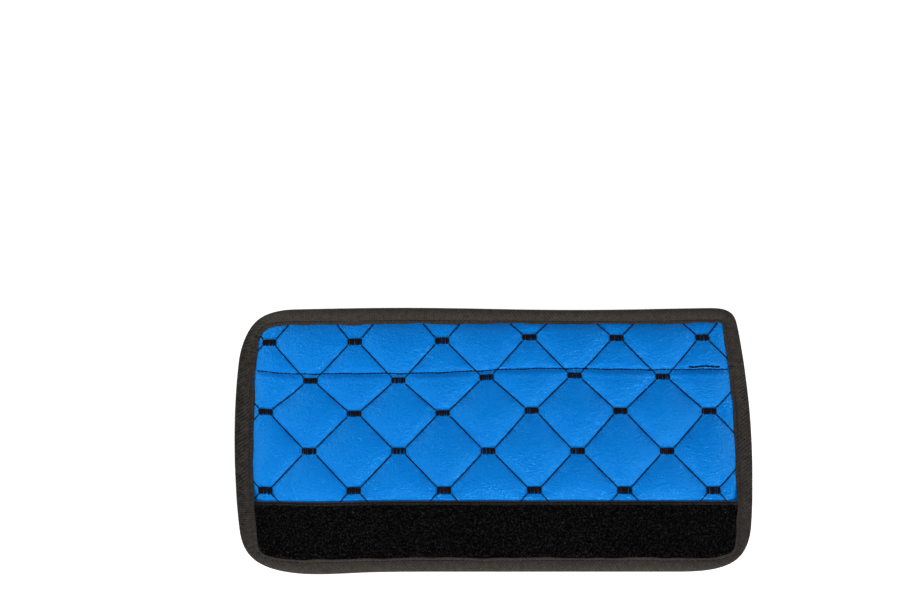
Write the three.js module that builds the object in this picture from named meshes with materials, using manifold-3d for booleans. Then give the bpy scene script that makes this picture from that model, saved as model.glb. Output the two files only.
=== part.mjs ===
// Seat belt shoulder pad, opened flat: a quilted wrap that folds round the belt webbing.
//
// A leatherette cover, a foam layer and a lining are quilted together in diamonds, with a bar tack at
// every crossing. A loop strip lies on the face along the lower edge, a hook strip lies on the back along
// the upper edge, and one folded tape binds the whole rim.
//
// Millimetres, +Z up. X runs along the belt, Y across it, and the pad lies face up on Z = 0 with the
// origin under its middle. Every piece is drawn on a flat cutting plan, and lay() then moves each point
// to where sewing leaves it.
import * as THREE from 'three';
import Module from 'manifold-3d';
import { mergeVertices } from 'three/addons/utils/BufferGeometryUtils.js';

// The cutting plan.
const padLength = 291;
const padDepth = 150.4;
const cornerLength = { topLeft: 35, topRight: 19, bottomLeft: 46, bottomRight: 47 };
const cornerDepth = { topLeft: 31, topRight: 12, bottomLeft: 25, bottomRight: 28 };

// How far each corner is filled out. 2 draws part of an ellipse, and higher numbers come near a square.
const outerFullness = { topLeft: 2.8, topRight: 3.5, bottomLeft: 2.8, bottomRight: 2.8 };
const innerFullness = { topLeft: 6, topRight: 6, bottomLeft: 5, bottomRight: 6 };

// How much of the binding tape shows on each side.
const bindingWidth = { left: 11, right: 10, top: 9, bottom: 8 };
const tapeThickness = 0.7;

// What sewing does to the plan.
const sideBow = 0.045;
const widestAt = 14;
const gather = 0.023;
const gatherFrom = 13;
const skew = -0.022;
const seamTakeUp = 3;
const topWave = 0.6;
const waveLength = 200;
const seamDrift = { leftHalf: -1.5, rightHalf: 1.9, end: 0.9 };
const driftPlaces = { rise: [-50, 35], settle: [40, 100] };
const driftRows = { from: -10, full: 32, leave: 57, gone: 72 };
const leftTail = { lift: 3.2, from: -140, to: -108, at: 28, spread: 18 };
const hemSag = 1.4;
const hemSagAt = -98;
const hemSagWidth = 25;

// The quilting.
const quiltPitch = 50;
const quiltRowPitch = 21.85;
const quiltCentre = { x: -2.9, y: -8.2 };
const barLength = 8;
const barWidth = 4;
const threadWidth = 0.7;
const threadHeight = 0.4;

// The layers, from the back to the face.
const layerGap = 0.3;
const liningThickness = 0.5;
const foamAtEdge = 1.2;
const coverThickness = 0.9;
const crestRise = 4.6;
const lineLevel = 0.28;
const shoulderReach = 0.62;
const shoulderLevel = 0.92;
const edgeRoll = 4;

// The hook and loop strips.
const loopStripWidth = 38;
const loopBase = 1;
const loopPile = 1;
const selvage = 2.2;
const hookStripWidth = 36;
const hookStripThickness = 1.2;
const seamInset = 2;
const seamLevel = 0.3;
const liftRamp = 1.6;
const stripClearance = 0.3;

// The sewing.
const seamThreadWidth = 0.8;
const seamThreadHeight = 0.5;
const threadClearance = 0.3;
const seamClearOfTape = 0.1;
const bindingSeamAt = 0.8;
const lapLength = 16;
const lapEndsAt = -2;
const lapRise = 0.6;
const lapSlope = 0.5;
const backTackLength = 19;
const backTackOffset = 1.5;

// Places across the binding, as shares of its width from the outer fold.
const sheetEdge = 0.16;
const insideFold = 0.08;
const foldReach = 0.25;
const clearOfBinding = 1.04;
const foldRound = 1.1;

const cornerSteps = 6;
const sideSteps = 3;

// Corners nearer each other than these are left out, or are one and the same.
const leastStep = 1;
const sameSpot = 1e-4;
const tiny = 1e-9;

// Places worked out from those sizes, on the cutting plan.
const halfLength = padLength / 2;
const bottomEdge = -padDepth / 2;
const topEdge = padDepth / 2;
const loopStripEdge = bottomEdge + bindingWidth.bottom * sheetEdge + loopStripWidth;
const hookStripEdge = topEdge - bindingWidth.top * sheetEdge - hookStripWidth;
const hookSeam = hookStripEdge + seamInset;
const loopSeam = loopStripEdge - seamInset / 2;
const liftEnd = hookStripEdge - stripClearance;
const liftStart = liftEnd - liftRamp;
const seamFlank = hookSeam - liftStart;
const lapStartsAt = lapEndsAt + lapLength;
const takeUpStart = quiltCentre.y + quiltRowPitch;
const hemLine = loopStripEdge + stripClearance;
const loopStepEnd = hemLine;
const loopStepStart = loopStepEnd + liftRamp;

// Heights on the flat rim of the pad, where every layer is pressed thin.
const liningAtEdge = tapeThickness + layerGap;
const foamUnder = liningAtEdge + liningThickness + layerGap;
const coverUnder = foamUnder + foamAtEdge + layerGap;
const coverAtEdge = coverUnder + coverThickness;
const tapeOverCover = coverAtEdge + layerGap + tapeThickness;

const ramp = (value, start, end) => THREE.MathUtils.clamp((value - start) / (end - start), 0, 1);
const hookLift = (y) => (hookStripThickness + layerGap) * ramp(y, liftStart, liftEnd);
const loopStep = (y) => (loopBase + layerGap) * ramp(y, loopStepStart, loopStepEnd);

// A corner of the plan. Its puff runs from 0 where the layers are pressed flat to 1 on a crest.
const corner = (x, y, puff = 0) => ({ x, y, puff });
const columnPitch = quiltPitch / 2;
const columnCount = Math.ceil((halfLength + Math.abs(quiltCentre.x)) / columnPitch);
const rowCount = Math.ceil((topEdge + Math.abs(quiltCentre.y)) / quiltRowPitch);
const columnXs = Array.from(
  { length: 2 * columnCount + 1 },
  (_, index) => quiltCentre.x + (index - columnCount) * columnPitch,
);

// The rim of the pad drawn inwards: 0 is the outer fold of the binding, 1 its inner edge.
// Every loop has the same number of points, so that points with one index lie across the binding.
function rimLoop(inward) {
  const left = -halfLength + bindingWidth.left * inward;
  const right = halfLength - bindingWidth.right * inward;
  const bottom = bottomEdge + bindingWidth.bottom * inward;
  const top = topEdge - bindingWidth.top * inward;
  const quarter = (name, sideX, sideY, [from, to]) => {
    const fullness = THREE.MathUtils.lerp(outerFullness[name], innerFullness[name], inward);
    const centreX = sideX * (halfLength - cornerLength[name]);
    const centreY = sideY * (topEdge - cornerDepth[name]);
    const reachX = Math.abs((sideX < 0 ? left : right) - centreX);
    const reachY = Math.abs((sideY < 0 ? bottom : top) - centreY);
    const points = [];
    for (let step = 0; step <= cornerSteps; step += 1) {
      const turn = THREE.MathUtils.lerp(from, to, step / cornerSteps) * (Math.PI / 2);
      const [cosine, sine] = [Math.cos(turn), Math.sin(turn)];
      const reach = (cosine ** fullness + sine ** fullness) ** (-1 / fullness);
      points.push(corner(
        centreX + sideX * reachX * reach * cosine,
        centreY + sideY * reachY * reach * sine,
      ));
    }
    return points;
  };
  const inSteps = (from, to, steps) => Array.from(
    { length: steps - 1 },
    (_, step) => THREE.MathUtils.lerp(from, to, (step + 1) / steps),
  );
  const sideHeights = [
    loopStepEnd, loopStepStart, ...inSteps(loopStepStart, liftStart, sideSteps), liftStart, liftEnd,
  ];
  const alongSide = (x, heights) => heights.map((y) => corner(x, y));
  const alongEdge = (y, from, to, places) => places
    .filter((x) => x > from.x + leastStep && x < to.x - leastStep)
    .map((x) => corner(x, y));
  const bottomLeft = quarter('bottomLeft', -1, -1, [0, 1]);
  const bottomRight = quarter('bottomRight', 1, -1, [1, 0]);
  const topRight = quarter('topRight', 1, 1, [0, 1]);
  const topLeft = quarter('topLeft', -1, 1, [1, 0]);
  const lapXs = [lapEndsAt - lapSlope, lapEndsAt, lapStartsAt, lapStartsAt + lapSlope];
  const bottomXs = [...columnXs, ...lapXs].sort((a, b) => a - b);
  return [
    ...bottomLeft,
    ...alongEdge(bottom, bottomLeft[cornerSteps], bottomRight[0], bottomXs),
    ...bottomRight,
    ...alongSide(right, sideHeights),
    ...topRight,
    ...alongEdge(top, topLeft[0], topRight[cornerSteps], columnXs).reverse(),
    ...topLeft,
    ...alongSide(left, [...sideHeights].reverse()),
  ];
}

// The upper seam wanders as it was sewn, and takes the rows of the quilt beside it along.
function wander({ x, y }) {
  const { smoothstep } = THREE.MathUtils;
  const drift = seamDrift.leftHalf
    + (seamDrift.rightHalf - seamDrift.leftHalf) * smoothstep(x, ...driftPlaces.rise)
    + (seamDrift.end - seamDrift.rightHalf) * smoothstep(x, ...driftPlaces.settle);
  const rows = smoothstep(y, driftRows.from, driftRows.full)
    * (1 - smoothstep(y, driftRows.leave, driftRows.gone));
  const tail = leftTail.lift * (1 - smoothstep(x, leftTail.from, leftTail.to));
  return drift * rows + tail * Math.exp(-(((y - leftTail.at) / leftTail.spread) ** 2));
}

// Where sewing leaves a point of the plan, before the pad is centred.
function sewn({ x, y }) {
  const bow = sideBow * (x / halfLength) ** 4 * ((y - widestAt) / topEdge) ** 2;
  const drawnIn = (gather * (y - gatherFrom)) / topEdge;
  const takeUp = seamTakeUp * ramp(y, takeUpStart, takeUpStart + quiltRowPitch);
  const upper = topWave * Math.sin((2 * Math.PI * (x + waveLength / 2)) / waveLength) * ramp(y, 0, topEdge);
  const lower = hemSag * Math.exp(-(((x - hemSagAt) / hemSagWidth) ** 2)) * ramp(y, 0, bottomEdge);
  return {
    x: x * (1 - drawnIn) * (1 - bow) + skew * (y - gatherFrom),
    y: y - takeUp + upper - lower + wander({ x, y }),
  };
}

const outerRim = rimLoop(0).map(sewn);
const rimBox = new THREE.Box2().setFromPoints(outerRim.map(({ x, y }) => new THREE.Vector2(x, y)));
const rimCentre = rimBox.getCenter(new THREE.Vector2());

function lay(point) {
  const { x, y } = sewn(point);
  return new THREE.Vector3(x - rimCentre.x, y - rimCentre.y, point.z);
}

// Distances in from the edges of a loop that runs anticlockwise and bulges everywhere.
function depthInside(loop, { x, y }) {
  let least = Infinity;
  loop.forEach((from, index) => {
    const to = loop[(index + 1) % loop.length];
    const length = Math.hypot(to.x - from.x, to.y - from.y);
    if (length < tiny) return;
    least = Math.min(least, ((to.x - from.x) * (y - from.y) - (to.y - from.y) * (x - from.x)) / length);
  });
  return least;
}

// Patches are lists of polygons, whose corners carry how far they stand up between the quilting lines.
const between = (a, b, share) => ({
  x: THREE.MathUtils.lerp(a.x, b.x, share),
  y: THREE.MathUtils.lerp(a.y, b.y, share),
  puff: THREE.MathUtils.lerp(a.puff, b.puff, share),
});

function keepWhere(polygon, side) {
  const kept = [];
  polygon.forEach((corner, index) => {
    const next = polygon[(index + 1) % polygon.length];
    const here = side(corner);
    const there = side(next);
    if (here >= -tiny) kept.push(corner);
    if ((here > tiny && there < -tiny) || (here < -tiny && there > tiny)) {
      kept.push(between(corner, next, here / (here - there)));
    }
  });
  return kept.length > 2 ? kept : null;
}

const above = (height) => (point) => point.y - height;
const below = (height) => (point) => height - point.y;
const keepPatch = (patch, side) => patch.map((polygon) => keepWhere(polygon, side)).filter(Boolean);
const splitPatch = (patch, heights) => heights.reduce(
  (pieces, height) => [...keepPatch(pieces, above(height)), ...keepPatch(pieces, below(height))],
  patch,
);

function clipToLoop(patch, loop) {
  return loop.reduce((pieces, from, index) => {
    const to = loop[(index + 1) % loop.length];
    if (Math.hypot(to.x - from.x, to.y - from.y) < tiny) return pieces;
    const side = ({ x, y }) => (to.x - from.x) * (y - from.y) - (to.y - from.y) * (x - from.x);
    return keepPatch(pieces, side);
  }, patch);
}

const nameOf = ({ x, y }) => `${Math.round(x / sameSpot)},${Math.round(y / sameSpot)}`;

// The open edges of a patch, each as a pair of corners that runs with the patch on its left.
function openEdges(patch) {
  const edges = new Map();
  patch.forEach((polygon) => polygon.forEach((from, index) => {
    const to = polygon[(index + 1) % polygon.length];
    const back = `${nameOf(to)}|${nameOf(from)}`;
    if (edges.has(back)) edges.delete(back);
    else if (nameOf(from) !== nameOf(to)) edges.set(`${nameOf(from)}|${nameOf(to)}`, [from, to]);
  }));
  return [...edges.values()];
}

// A closed solid between two heights over a patch.
function solidOver(patch, lower, upper) {
  const positions = [];
  const face = (a, b, c) => [a, b, c].forEach((corner) => {
    const place = lay(corner);
    positions.push(place.x, place.y, place.z);
  });
  const low = (corner) => ({ ...corner, z: lower(corner) });
  const high = (corner) => ({ ...corner, z: upper(corner) });
  patch.forEach((polygon) => {
    const corners = polygon.filter((c, i) => nameOf(c) !== nameOf(polygon[(i + 1) % polygon.length]));
    for (let index = 1; index < corners.length - 1; index += 1) {
      face(high(corners[0]), high(corners[index]), high(corners[index + 1]));
      face(low(corners[0]), low(corners[index + 1]), low(corners[index]));
    }
  });
  openEdges(patch).forEach(([from, to]) => {
    face(low(from), low(to), high(to));
    face(low(from), high(to), high(from));
  });
  return geometryOf(positions);
}

function geometryOf(positions) {
  const geometry = new THREE.BufferGeometry();
  geometry.setAttribute('position', new THREE.Float32BufferAttribute(positions, 3));
  const merged = mergeVertices(geometry, sameSpot);
  merged.computeVertexNormals();
  return merged;
}

// A closed solid through sections that all have the same number of corners.
function sweptThrough(sections, closed) {
  const positions = [];
  const face = (...places) => places.forEach(({ x, y, z }) => positions.push(x, y, z));
  sections.forEach((here, index) => {
    if (!closed && index === sections.length - 1) return;
    const there = sections[(index + 1) % sections.length];
    here.forEach((from, step) => {
      const to = (step + 1) % here.length;
      face(from, there[to], there[step]);
      face(from, here[to], there[to]);
    });
  });
  if (!closed) {
    const [first, last] = [sections[0], sections[sections.length - 1]];
    for (let step = 1; step < first.length - 1; step += 1) {
      face(first[0], first[step + 1], first[step]);
      face(last[0], last[step], last[step + 1]);
    }
  }
  return geometryOf(positions);
}

const wasm = await Module();
wasm.setup();

function toManifold(geometry) {
  const bare = new THREE.BufferGeometry();
  bare.setAttribute('position', geometry.getAttribute('position'));
  bare.setIndex(geometry.getIndex());
  const merged = mergeVertices(bare, sameSpot);
  return new wasm.Manifold(new wasm.Mesh({
    numProp: 3,
    vertProperties: Float32Array.from(merged.getAttribute('position').array),
    triVerts: Uint32Array.from(merged.getIndex().array),
  }));
}

function fromManifold(solid) {
  const { vertProperties, triVerts } = solid.getMesh();
  const geometry = new THREE.BufferGeometry();
  geometry.setAttribute('position', new THREE.Float32BufferAttribute(vertProperties, 3));
  geometry.setIndex(Array.from(triVerts));
  geometry.computeVertexNormals();
  return geometry;
}

// The quilting plan: a bar tack at every other crossing, and eight-sided cells between the tacks.
const isTack = (column, row) => (column + row) % 2 === 0;
const tackCorners = [[-1, -1], [1, -1], [1, 1], [-1, 1]];

function cellRim(centreX, centreY) {
  const reachX = columnPitch - barLength / 2;
  const reachY = quiltRowPitch - barWidth / 2;
  return [
    [reachX, -barWidth / 2], [reachX, barWidth / 2], [barLength / 2, reachY], [-barLength / 2, reachY],
    [-reachX, barWidth / 2], [-reachX, -barWidth / 2], [-barLength / 2, -reachY], [barLength / 2, -reachY],
  ].map(([x, y]) => corner(centreX + x, centreY + y, lineLevel));
}

function crownedCell(centreX, centreY) {
  const rim = cellRim(centreX, centreY);
  const crest = corner(centreX, centreY, 1);
  const reachX = shoulderReach * columnPitch;
  const reachY = shoulderReach * quiltRowPitch;
  const shoulders = [[reachX, 0], [0, reachY], [-reachX, 0], [0, -reachY]]
    .map(([x, y]) => corner(centreX + x, centreY + y, shoulderLevel));
  return shoulders.flatMap((shoulder, index) => {
    const [from, to, beyond] = [0, 1, 2].map((step) => rim[(2 * index + step) % rim.length]);
    const next = shoulders[(index + 1) % shoulders.length];
    return [[from, to, shoulder], [to, beyond, next, shoulder], [shoulder, next, crest]];
  });
}

function tackField(centreX, centreY) {
  return [tackCorners.map(([x, y]) => corner(
    centreX + (x * barLength) / 2,
    centreY + (y * barWidth) / 2,
    lineLevel,
  ))];
}

function overTheQuilt(draw) {
  const drawn = [];
  for (let column = -columnCount; column <= columnCount; column += 1) {
    for (let row = -rowCount; row <= rowCount; row += 1) {
      const centreX = quiltCentre.x + column * columnPitch;
      const centreY = quiltCentre.y + row * quiltRowPitch;
      drawn.push(...draw(centreX, centreY, isTack(column, row)));
    }
  }
  return drawn;
}

const sheetRim = rimLoop(sheetEdge);
const innerRim = rimLoop(1);
const onHeight = (height) => ({ y }) => Math.abs(y - height) < sameSpot;

// A flat piece of the plan, cut off straight at one height, whose cut edge gets the corners given.
function flatPatch(loop, side, height, onCut) {
  const outline = keepWhere(loop, side).filter((point) => !onHeight(height)(point));
  const start = outline.findIndex((point, index) => {
    const before = outline[(index + outline.length - 1) % outline.length];
    return Math.abs(before.x - point.x) > padLength / 2;
  });
  const cut = onCut.slice().sort((a, b) => a.x - b.x);
  const polygon = [...outline.slice(start), ...outline.slice(0, start)];
  polygon.push(...(polygon[0].x < 0 ? cut.reverse() : cut));
  const share = 1 / polygon.length;
  const middle = polygon.reduce(
    (sum, { x, y }) => corner(sum.x + x * share, sum.y + y * share),
    corner(0, 0),
  );
  return polygon.map((from, index) => [from, polygon[(index + 1) % polygon.length], middle]);
}

function cutAcross(loop, height) {
  const ends = keepWhere(loop, above(height)).filter(onHeight(height));
  const [left, right] = [Math.min(...ends.map(({ x }) => x)), Math.max(...ends.map(({ x }) => x))];
  const inner = columnXs.filter((x) => x > left + leastStep && x < right - leastStep);
  return [left, ...inner, right].map((x) => corner(x, height));
}

// Under the loop strip the layers are pressed flat, so one polygon carries the quilt on to the hem.
function withFlatHem(patch) {
  const joint = new Map();
  patch.flat().filter(onHeight(hemLine)).forEach((point) => joint.set(nameOf(point), point));
  return [...patch, ...flatPatch(innerRim, below(hemLine), hemLine, [...joint.values()])];
}

// Carries a patch that ends at the inner edge of the binding on to where the sheets stop in the tape.
function withTuckedRim(patch) {
  const outwards = (point) => {
    let best = { miss: Infinity };
    innerRim.forEach((from, index) => {
      const next = (index + 1) % innerRim.length;
      const to = innerRim[next];
      const along = new THREE.Line3(new THREE.Vector3(from.x, from.y, 0), new THREE.Vector3(to.x, to.y, 0));
      const place = new THREE.Vector3(point.x, point.y, 0);
      const share = along.closestPointToPointParameter(place, true);
      const miss = along.at(share, new THREE.Vector3()).distanceTo(place);
      if (miss < best.miss) best = { miss, index, next, share };
    });
    const tucked = (index) => ({ ...sheetRim[index], puff: point.puff });
    return between(tucked(best.index), tucked(best.next), best.share);
  };
  return [...patch, ...openEdges(patch).map(([from, to]) => [from, outwards(from), outwards(to), to])];
}

function quiltedPatch(heights) {
  const quilt = overTheQuilt((x, y, tack) => (tack ? tackField(x, y) : crownedCell(x, y)));
  const shown = keepPatch(clipToLoop(splitPatch(quilt, heights), innerRim), above(hemLine));
  return withTuckedRim(withFlatHem(shown));
}

// Heights of the layers over any point of the plan.
const rollUp = (point) => {
  const depth = Math.min(depthInside(innerRim, point), point.y - hemLine);
  return depth > sameSpot ? 1 - Math.exp(-depth / edgeRoll) : 0;
};
const seamDip = ({ y }) => 1 - (1 - seamLevel) * Math.max(0, 1 - Math.abs(y - hookSeam) / seamFlank);
const coverRise = (point) => crestRise * point.puff * rollUp(point) * seamDip(point);
const coverTop = (point) => coverAtEdge + hookLift(point.y) + coverRise(point);
const coverBottom = (point) => coverTop(point) - coverThickness;
const foamTop = (point) => coverBottom(point) - layerGap;
const liningBottom = (point) => liningAtEdge + hookLift(point.y);
const liningTop = (point) => liningBottom(point) + liningThickness;
const foamBottom = (point) => liningTop(point) + layerGap;

const foldHeights = [liftStart, liftEnd, hookSeam, hookSeam + seamFlank];
const facePatch = quiltedPatch(foldHeights);
const makeCover = () => solidOver(facePatch, coverBottom, coverTop);
const makeFoam = () => solidOver(facePatch, foamBottom, foamTop);

// A flat piece of the plan between a rim and one straight cut across it.
const stripPatch = (loop, side, height) => flatPatch(loop, side(height), height, cutAcross(loop, height));

function makeLining() {
  const [lower, upper] = [cutAcross(sheetRim, liftStart), cutAcross(sheetRim, liftEnd)];
  const step = lower.slice(1).map((to, index) => [lower[index], to, upper[index + 1], upper[index]]);
  const patch = [
    ...stripPatch(sheetRim, below, liftStart), ...step, ...stripPatch(sheetRim, above, liftEnd),
  ];
  return solidOver(patch, liningBottom, liningTop);
}

// The quilting thread: a run along each side of every cell, sewn to the corners of the tacks.
function threadPatch() {
  const besides = (from, to) => {
    const length = Math.hypot(to.x - from.x, to.y - from.y);
    const x = (-(to.y - from.y) / length) * (threadWidth / 2);
    const y = ((to.x - from.x) / length) * (threadWidth / 2);
    return [-1, 1].map((side) => ({ ...from, x: from.x + x * side, y: from.y + y * side }));
  };
  return overTheQuilt((x, y, tack) => {
    const rim = cellRim(x, y);
    if (!tack) {
      return [[rim[1], rim[2]], [rim[4], rim[3]]].map(
        ([from, to]) => [...besides(to, from), ...besides(from, to)].reverse(),
      );
    }
    const run = { x: columnPitch - barLength, y: quiltRowPitch - barWidth };
    return [tackField(x, y)[0].flatMap((end, index) => {
      const [sideX, sideY] = tackCorners[index];
      return besides(end, { ...end, x: end.x + sideX * run.x, y: end.y + sideY * run.y });
    })];
  });
}

function largestOf(geometry) {
  const bodies = toManifold(geometry).decompose();
  return fromManifold(bodies.reduce((largest, body) => (body.volume() > largest.volume() ? body : largest)));
}

function threadNet(heights, sides, lower, upper) {
  const shown = clipToLoop(splitPatch(threadPatch(), heights), rimLoop(clearOfBinding));
  return largestOf(solidOver(sides.reduce(keepPatch, shown), lower, upper));
}

const makeNeedleThread = () => threadNet(
  foldHeights,
  [above(hemLine)],
  (point) => coverTop(point) + threadClearance,
  (point) => coverTop(point) + threadClearance + threadHeight,
);

const makeBobbinThread = () => threadNet(
  [liftStart],
  [below(liftStart)],
  (point) => liningBottom(point) - threadClearance - threadHeight,
  (point) => liningBottom(point) - threadClearance,
);

// The binding: a tape folded over the rim, drawn as one closed section at each point of the rim.
const lapHeight = ({ x, y }) => {
  const lap = ramp(x, lapEndsAt - lapSlope, lapEndsAt)
    * (1 - ramp(x, lapStartsAt, lapStartsAt + lapSlope));
  return y < loopStripEdge ? lapRise * lap : 0;
};
const bindingTop = (point) => tapeOverCover + hookLift(point.y) + loopStep(point.y);

function makeBinding() {
  const section = (top, lap) => [
    [1, 0], [1, tapeThickness], [insideFold, tapeThickness], [insideFold, top - tapeThickness],
    [1, top - tapeThickness], [1, top + lap], [foldReach, top + lap], [foldReach / 4, top - foldRound + lap],
    [0, top / 2], [foldReach / 4, foldRound], [foldReach, 0],
  ];
  const sections = rimLoop(0).map((onRim, index) => section(bindingTop(onRim), lapHeight(onRim)).map(
    ([inward, z]) => lay({ ...rimLoop(inward)[index], z }),
  ));
  return sweptThrough(sections, true);
}

// A seam's thread: a bead with a four-sided section at every place of its line.
function beadAlong(line, closed) {
  const places = line.filter((place, index) => index === 0 || place.distanceTo(line[index - 1]) > sameSpot);
  const sections = places.map((place, index) => {
    const last = places.length - 1;
    const before = closed ? places[(index + last) % places.length] : places[Math.max(0, index - 1)];
    const after = closed ? places[(index + 1) % places.length] : places[Math.min(last, index + 1)];
    const along = after.clone().sub(before);
    const across = new THREE.Vector3(-along.y, along.x, 0).setLength(seamThreadWidth / 2);
    const up = new THREE.Vector3(0, 0, seamThreadHeight / 2);
    return [across, up, across.clone().negate(), up.clone().negate()].map((v) => v.add(place));
  });
  return sweptThrough(sections, closed);
}

function makeBindingStitch() {
  const line = rimLoop(bindingSeamAt).map((point) => lay({
    ...point,
    z: bindingTop(point) + lapHeight(point) + layerGap + seamThreadHeight / 2,
  }));
  return beadAlong(line, true);
}

// The cover's corners that lie on one line across the pad, as places over the face.
function lineOverFace(height, shift, clearance) {
  const found = new Map();
  facePatch.flat().filter(onHeight(height)).forEach((point) => {
    if (depthInside(innerRim, point) > seamClearOfTape) found.set(nameOf(point), point);
  });
  return [...found.values()].sort((a, b) => a.x - b.x)
    .map((point) => lay({ ...point, y: point.y + shift, z: coverTop(point) + clearance }));
}

function makeHookSeam() {
  const clearance = threadClearance + threadHeight + layerGap + seamThreadHeight / 2;
  const seam = lineOverFace(hookSeam, 0, clearance);
  const slope = crestRise / seamFlank;
  const tack = lineOverFace(hookSeam, backTackOffset, clearance + slope * backTackOffset);
  const end = tack[tack.length - 1].x;
  const backTack = tack.filter(({ x }) => x > end - backTackLength).reverse();
  return beadAlong([...seam, ...backTack], false);
}

// The hook and loop strips lie flat, tucked under the tape on three sides.
const level = (height) => () => height;

const makeHookStrip = () => solidOver(
  stripPatch(sheetRim, above, hookStripEdge),
  level(tapeThickness + layerGap),
  level(tapeThickness + layerGap + hookStripThickness),
);

const loopUnder = coverAtEdge + layerGap;
const loopTop = loopUnder + loopBase;
function makeLoopStrip() {
  const base = solidOver(stripPatch(sheetRim, below, loopStripEdge), level(loopUnder), level(loopTop));
  const pile = solidOver(
    stripPatch(rimLoop(clearOfBinding), below, loopStripEdge - selvage),
    level(loopTop - loopBase / 2),
    level(loopTop + loopPile),
  );
  return fromManifold(toManifold(base).add(toManifold(pile)));
}

function makeLoopSeam() {
  const z = loopTop + layerGap + seamThreadHeight / 2;
  return beadAlong(cutAcross(rimLoop(clearOfBinding), loopSeam).map((place) => lay({ ...place, z })), false);
}

// Colours and finishes.
const leatherette = new THREE.MeshStandardMaterial({ color: 0x0a78dc, roughness: 0.42, metalness: 0 });
const foamGrey = new THREE.MeshStandardMaterial({ color: 0x8c8f92, roughness: 0.95, metalness: 0 });
const blackLining = new THREE.MeshStandardMaterial({ color: 0x1d1d1f, roughness: 0.95, metalness: 0 });
const loopPileBlack = new THREE.MeshStandardMaterial({ color: 0x0e0e0e, roughness: 1, metalness: 0 });
const hookBlack = new THREE.MeshStandardMaterial({ color: 0x171717, roughness: 0.7, metalness: 0 });
const wovenTape = new THREE.MeshStandardMaterial({ color: 0x35322f, roughness: 0.85, metalness: 0 });
const blackThread = new THREE.MeshStandardMaterial({ color: 0x15151a, roughness: 0.6, metalness: 0 });

const pad = new THREE.Group();
const pieces = [
  ['outer_cover', makeCover, leatherette],
  ['foam_layer', makeFoam, foamGrey],
  ['lining', makeLining, blackLining],
  ['edge_binding', makeBinding, wovenTape],
  ['loop_strip', makeLoopStrip, loopPileBlack],
  ['hook_strip', makeHookStrip, hookBlack],
  ['needle_thread', makeNeedleThread, blackThread],
  ['bobbin_thread', makeBobbinThread, blackThread],
  ['binding_stitch', makeBindingStitch, blackThread],
  ['hook_strip_seam', makeHookSeam, blackThread],
  ['loop_strip_seam', makeLoopSeam, blackThread],
];
pieces.forEach(([name, make, material]) => {
  const piece = new THREE.Mesh(make(), material);
  piece.name = name;
  pad.add(piece);
});

export default pad;
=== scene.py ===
# %% [markdown]
# # A quilted seat belt shoulder pad, opened flat
#
# The real pad is a soft wrap that folds round the belt webbing. A leatherette cover, a foam layer and a
# lining are quilted together in diamonds, with a bar tack at every crossing. A loop strip lies on the face
# along the lower edge, a hook strip on the back along the upper edge, and one folded tape binds the rim.
# The imported model gives every place and size, so it is loaded first.

# %% Load the imported model
import math
import bpy
import numpy as np
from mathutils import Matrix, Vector


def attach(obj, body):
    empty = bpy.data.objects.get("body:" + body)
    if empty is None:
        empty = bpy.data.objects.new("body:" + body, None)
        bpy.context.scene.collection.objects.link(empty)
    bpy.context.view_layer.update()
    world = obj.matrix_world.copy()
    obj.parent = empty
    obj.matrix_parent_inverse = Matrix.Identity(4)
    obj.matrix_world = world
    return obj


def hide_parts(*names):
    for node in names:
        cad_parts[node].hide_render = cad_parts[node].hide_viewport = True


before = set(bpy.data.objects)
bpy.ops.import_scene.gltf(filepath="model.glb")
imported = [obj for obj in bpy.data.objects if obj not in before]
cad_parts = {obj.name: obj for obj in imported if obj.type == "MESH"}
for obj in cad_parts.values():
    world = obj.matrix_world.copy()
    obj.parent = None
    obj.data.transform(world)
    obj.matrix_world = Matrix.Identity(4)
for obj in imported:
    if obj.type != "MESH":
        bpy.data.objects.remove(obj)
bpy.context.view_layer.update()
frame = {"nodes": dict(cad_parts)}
print("nodes:", ", ".join(frame["nodes"]))

# %% [markdown]
# ## The cutting plan
#
# Cloth is cut flat and changes shape when it is sewn. Every piece is therefore drawn on one flat cutting
# plan in millimetres, and one function moves each point to where sewing leaves it. The values are those of
# the part's source, so that each piece lies where its solid lies.

# %% Sizes of the pad's outline, in millimetres
MM = 0.001
PAD_LENGTH, PAD_DEPTH = 291.0, 150.4
HALF_LENGTH, HALF_DEPTH = PAD_LENGTH / 2, PAD_DEPTH / 2
# How far each corner's curve reaches along the pad and across it. A fullness of 2 is an ellipse, and more
# is squarer. The outer curve is the tape's fold, and the inner one is where the tape ends on the face.
CORNER_LENGTH = {"top_left": 35, "top_right": 19, "bottom_left": 46, "bottom_right": 47}
CORNER_DEPTH = {"top_left": 31, "top_right": 12, "bottom_left": 25, "bottom_right": 28}
OUTER_FULLNESS = {"top_left": 2.8, "top_right": 3.5, "bottom_left": 2.8, "bottom_right": 2.8}
INNER_FULLNESS = {"top_left": 6.0, "top_right": 6.0, "bottom_left": 5.0, "bottom_right": 6.0}
TAPE_LEFT, TAPE_RIGHT, TAPE_TOP, TAPE_BOTTOM = 11.0, 10.0, 9.0, 8.0
SHEET_EDGE = 0.16  # share of the tape's shown width at which the sheets stop, inside its fold
print("plan", PAD_LENGTH, "by", PAD_DEPTH, "mm, before sewing draws it in")

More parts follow.
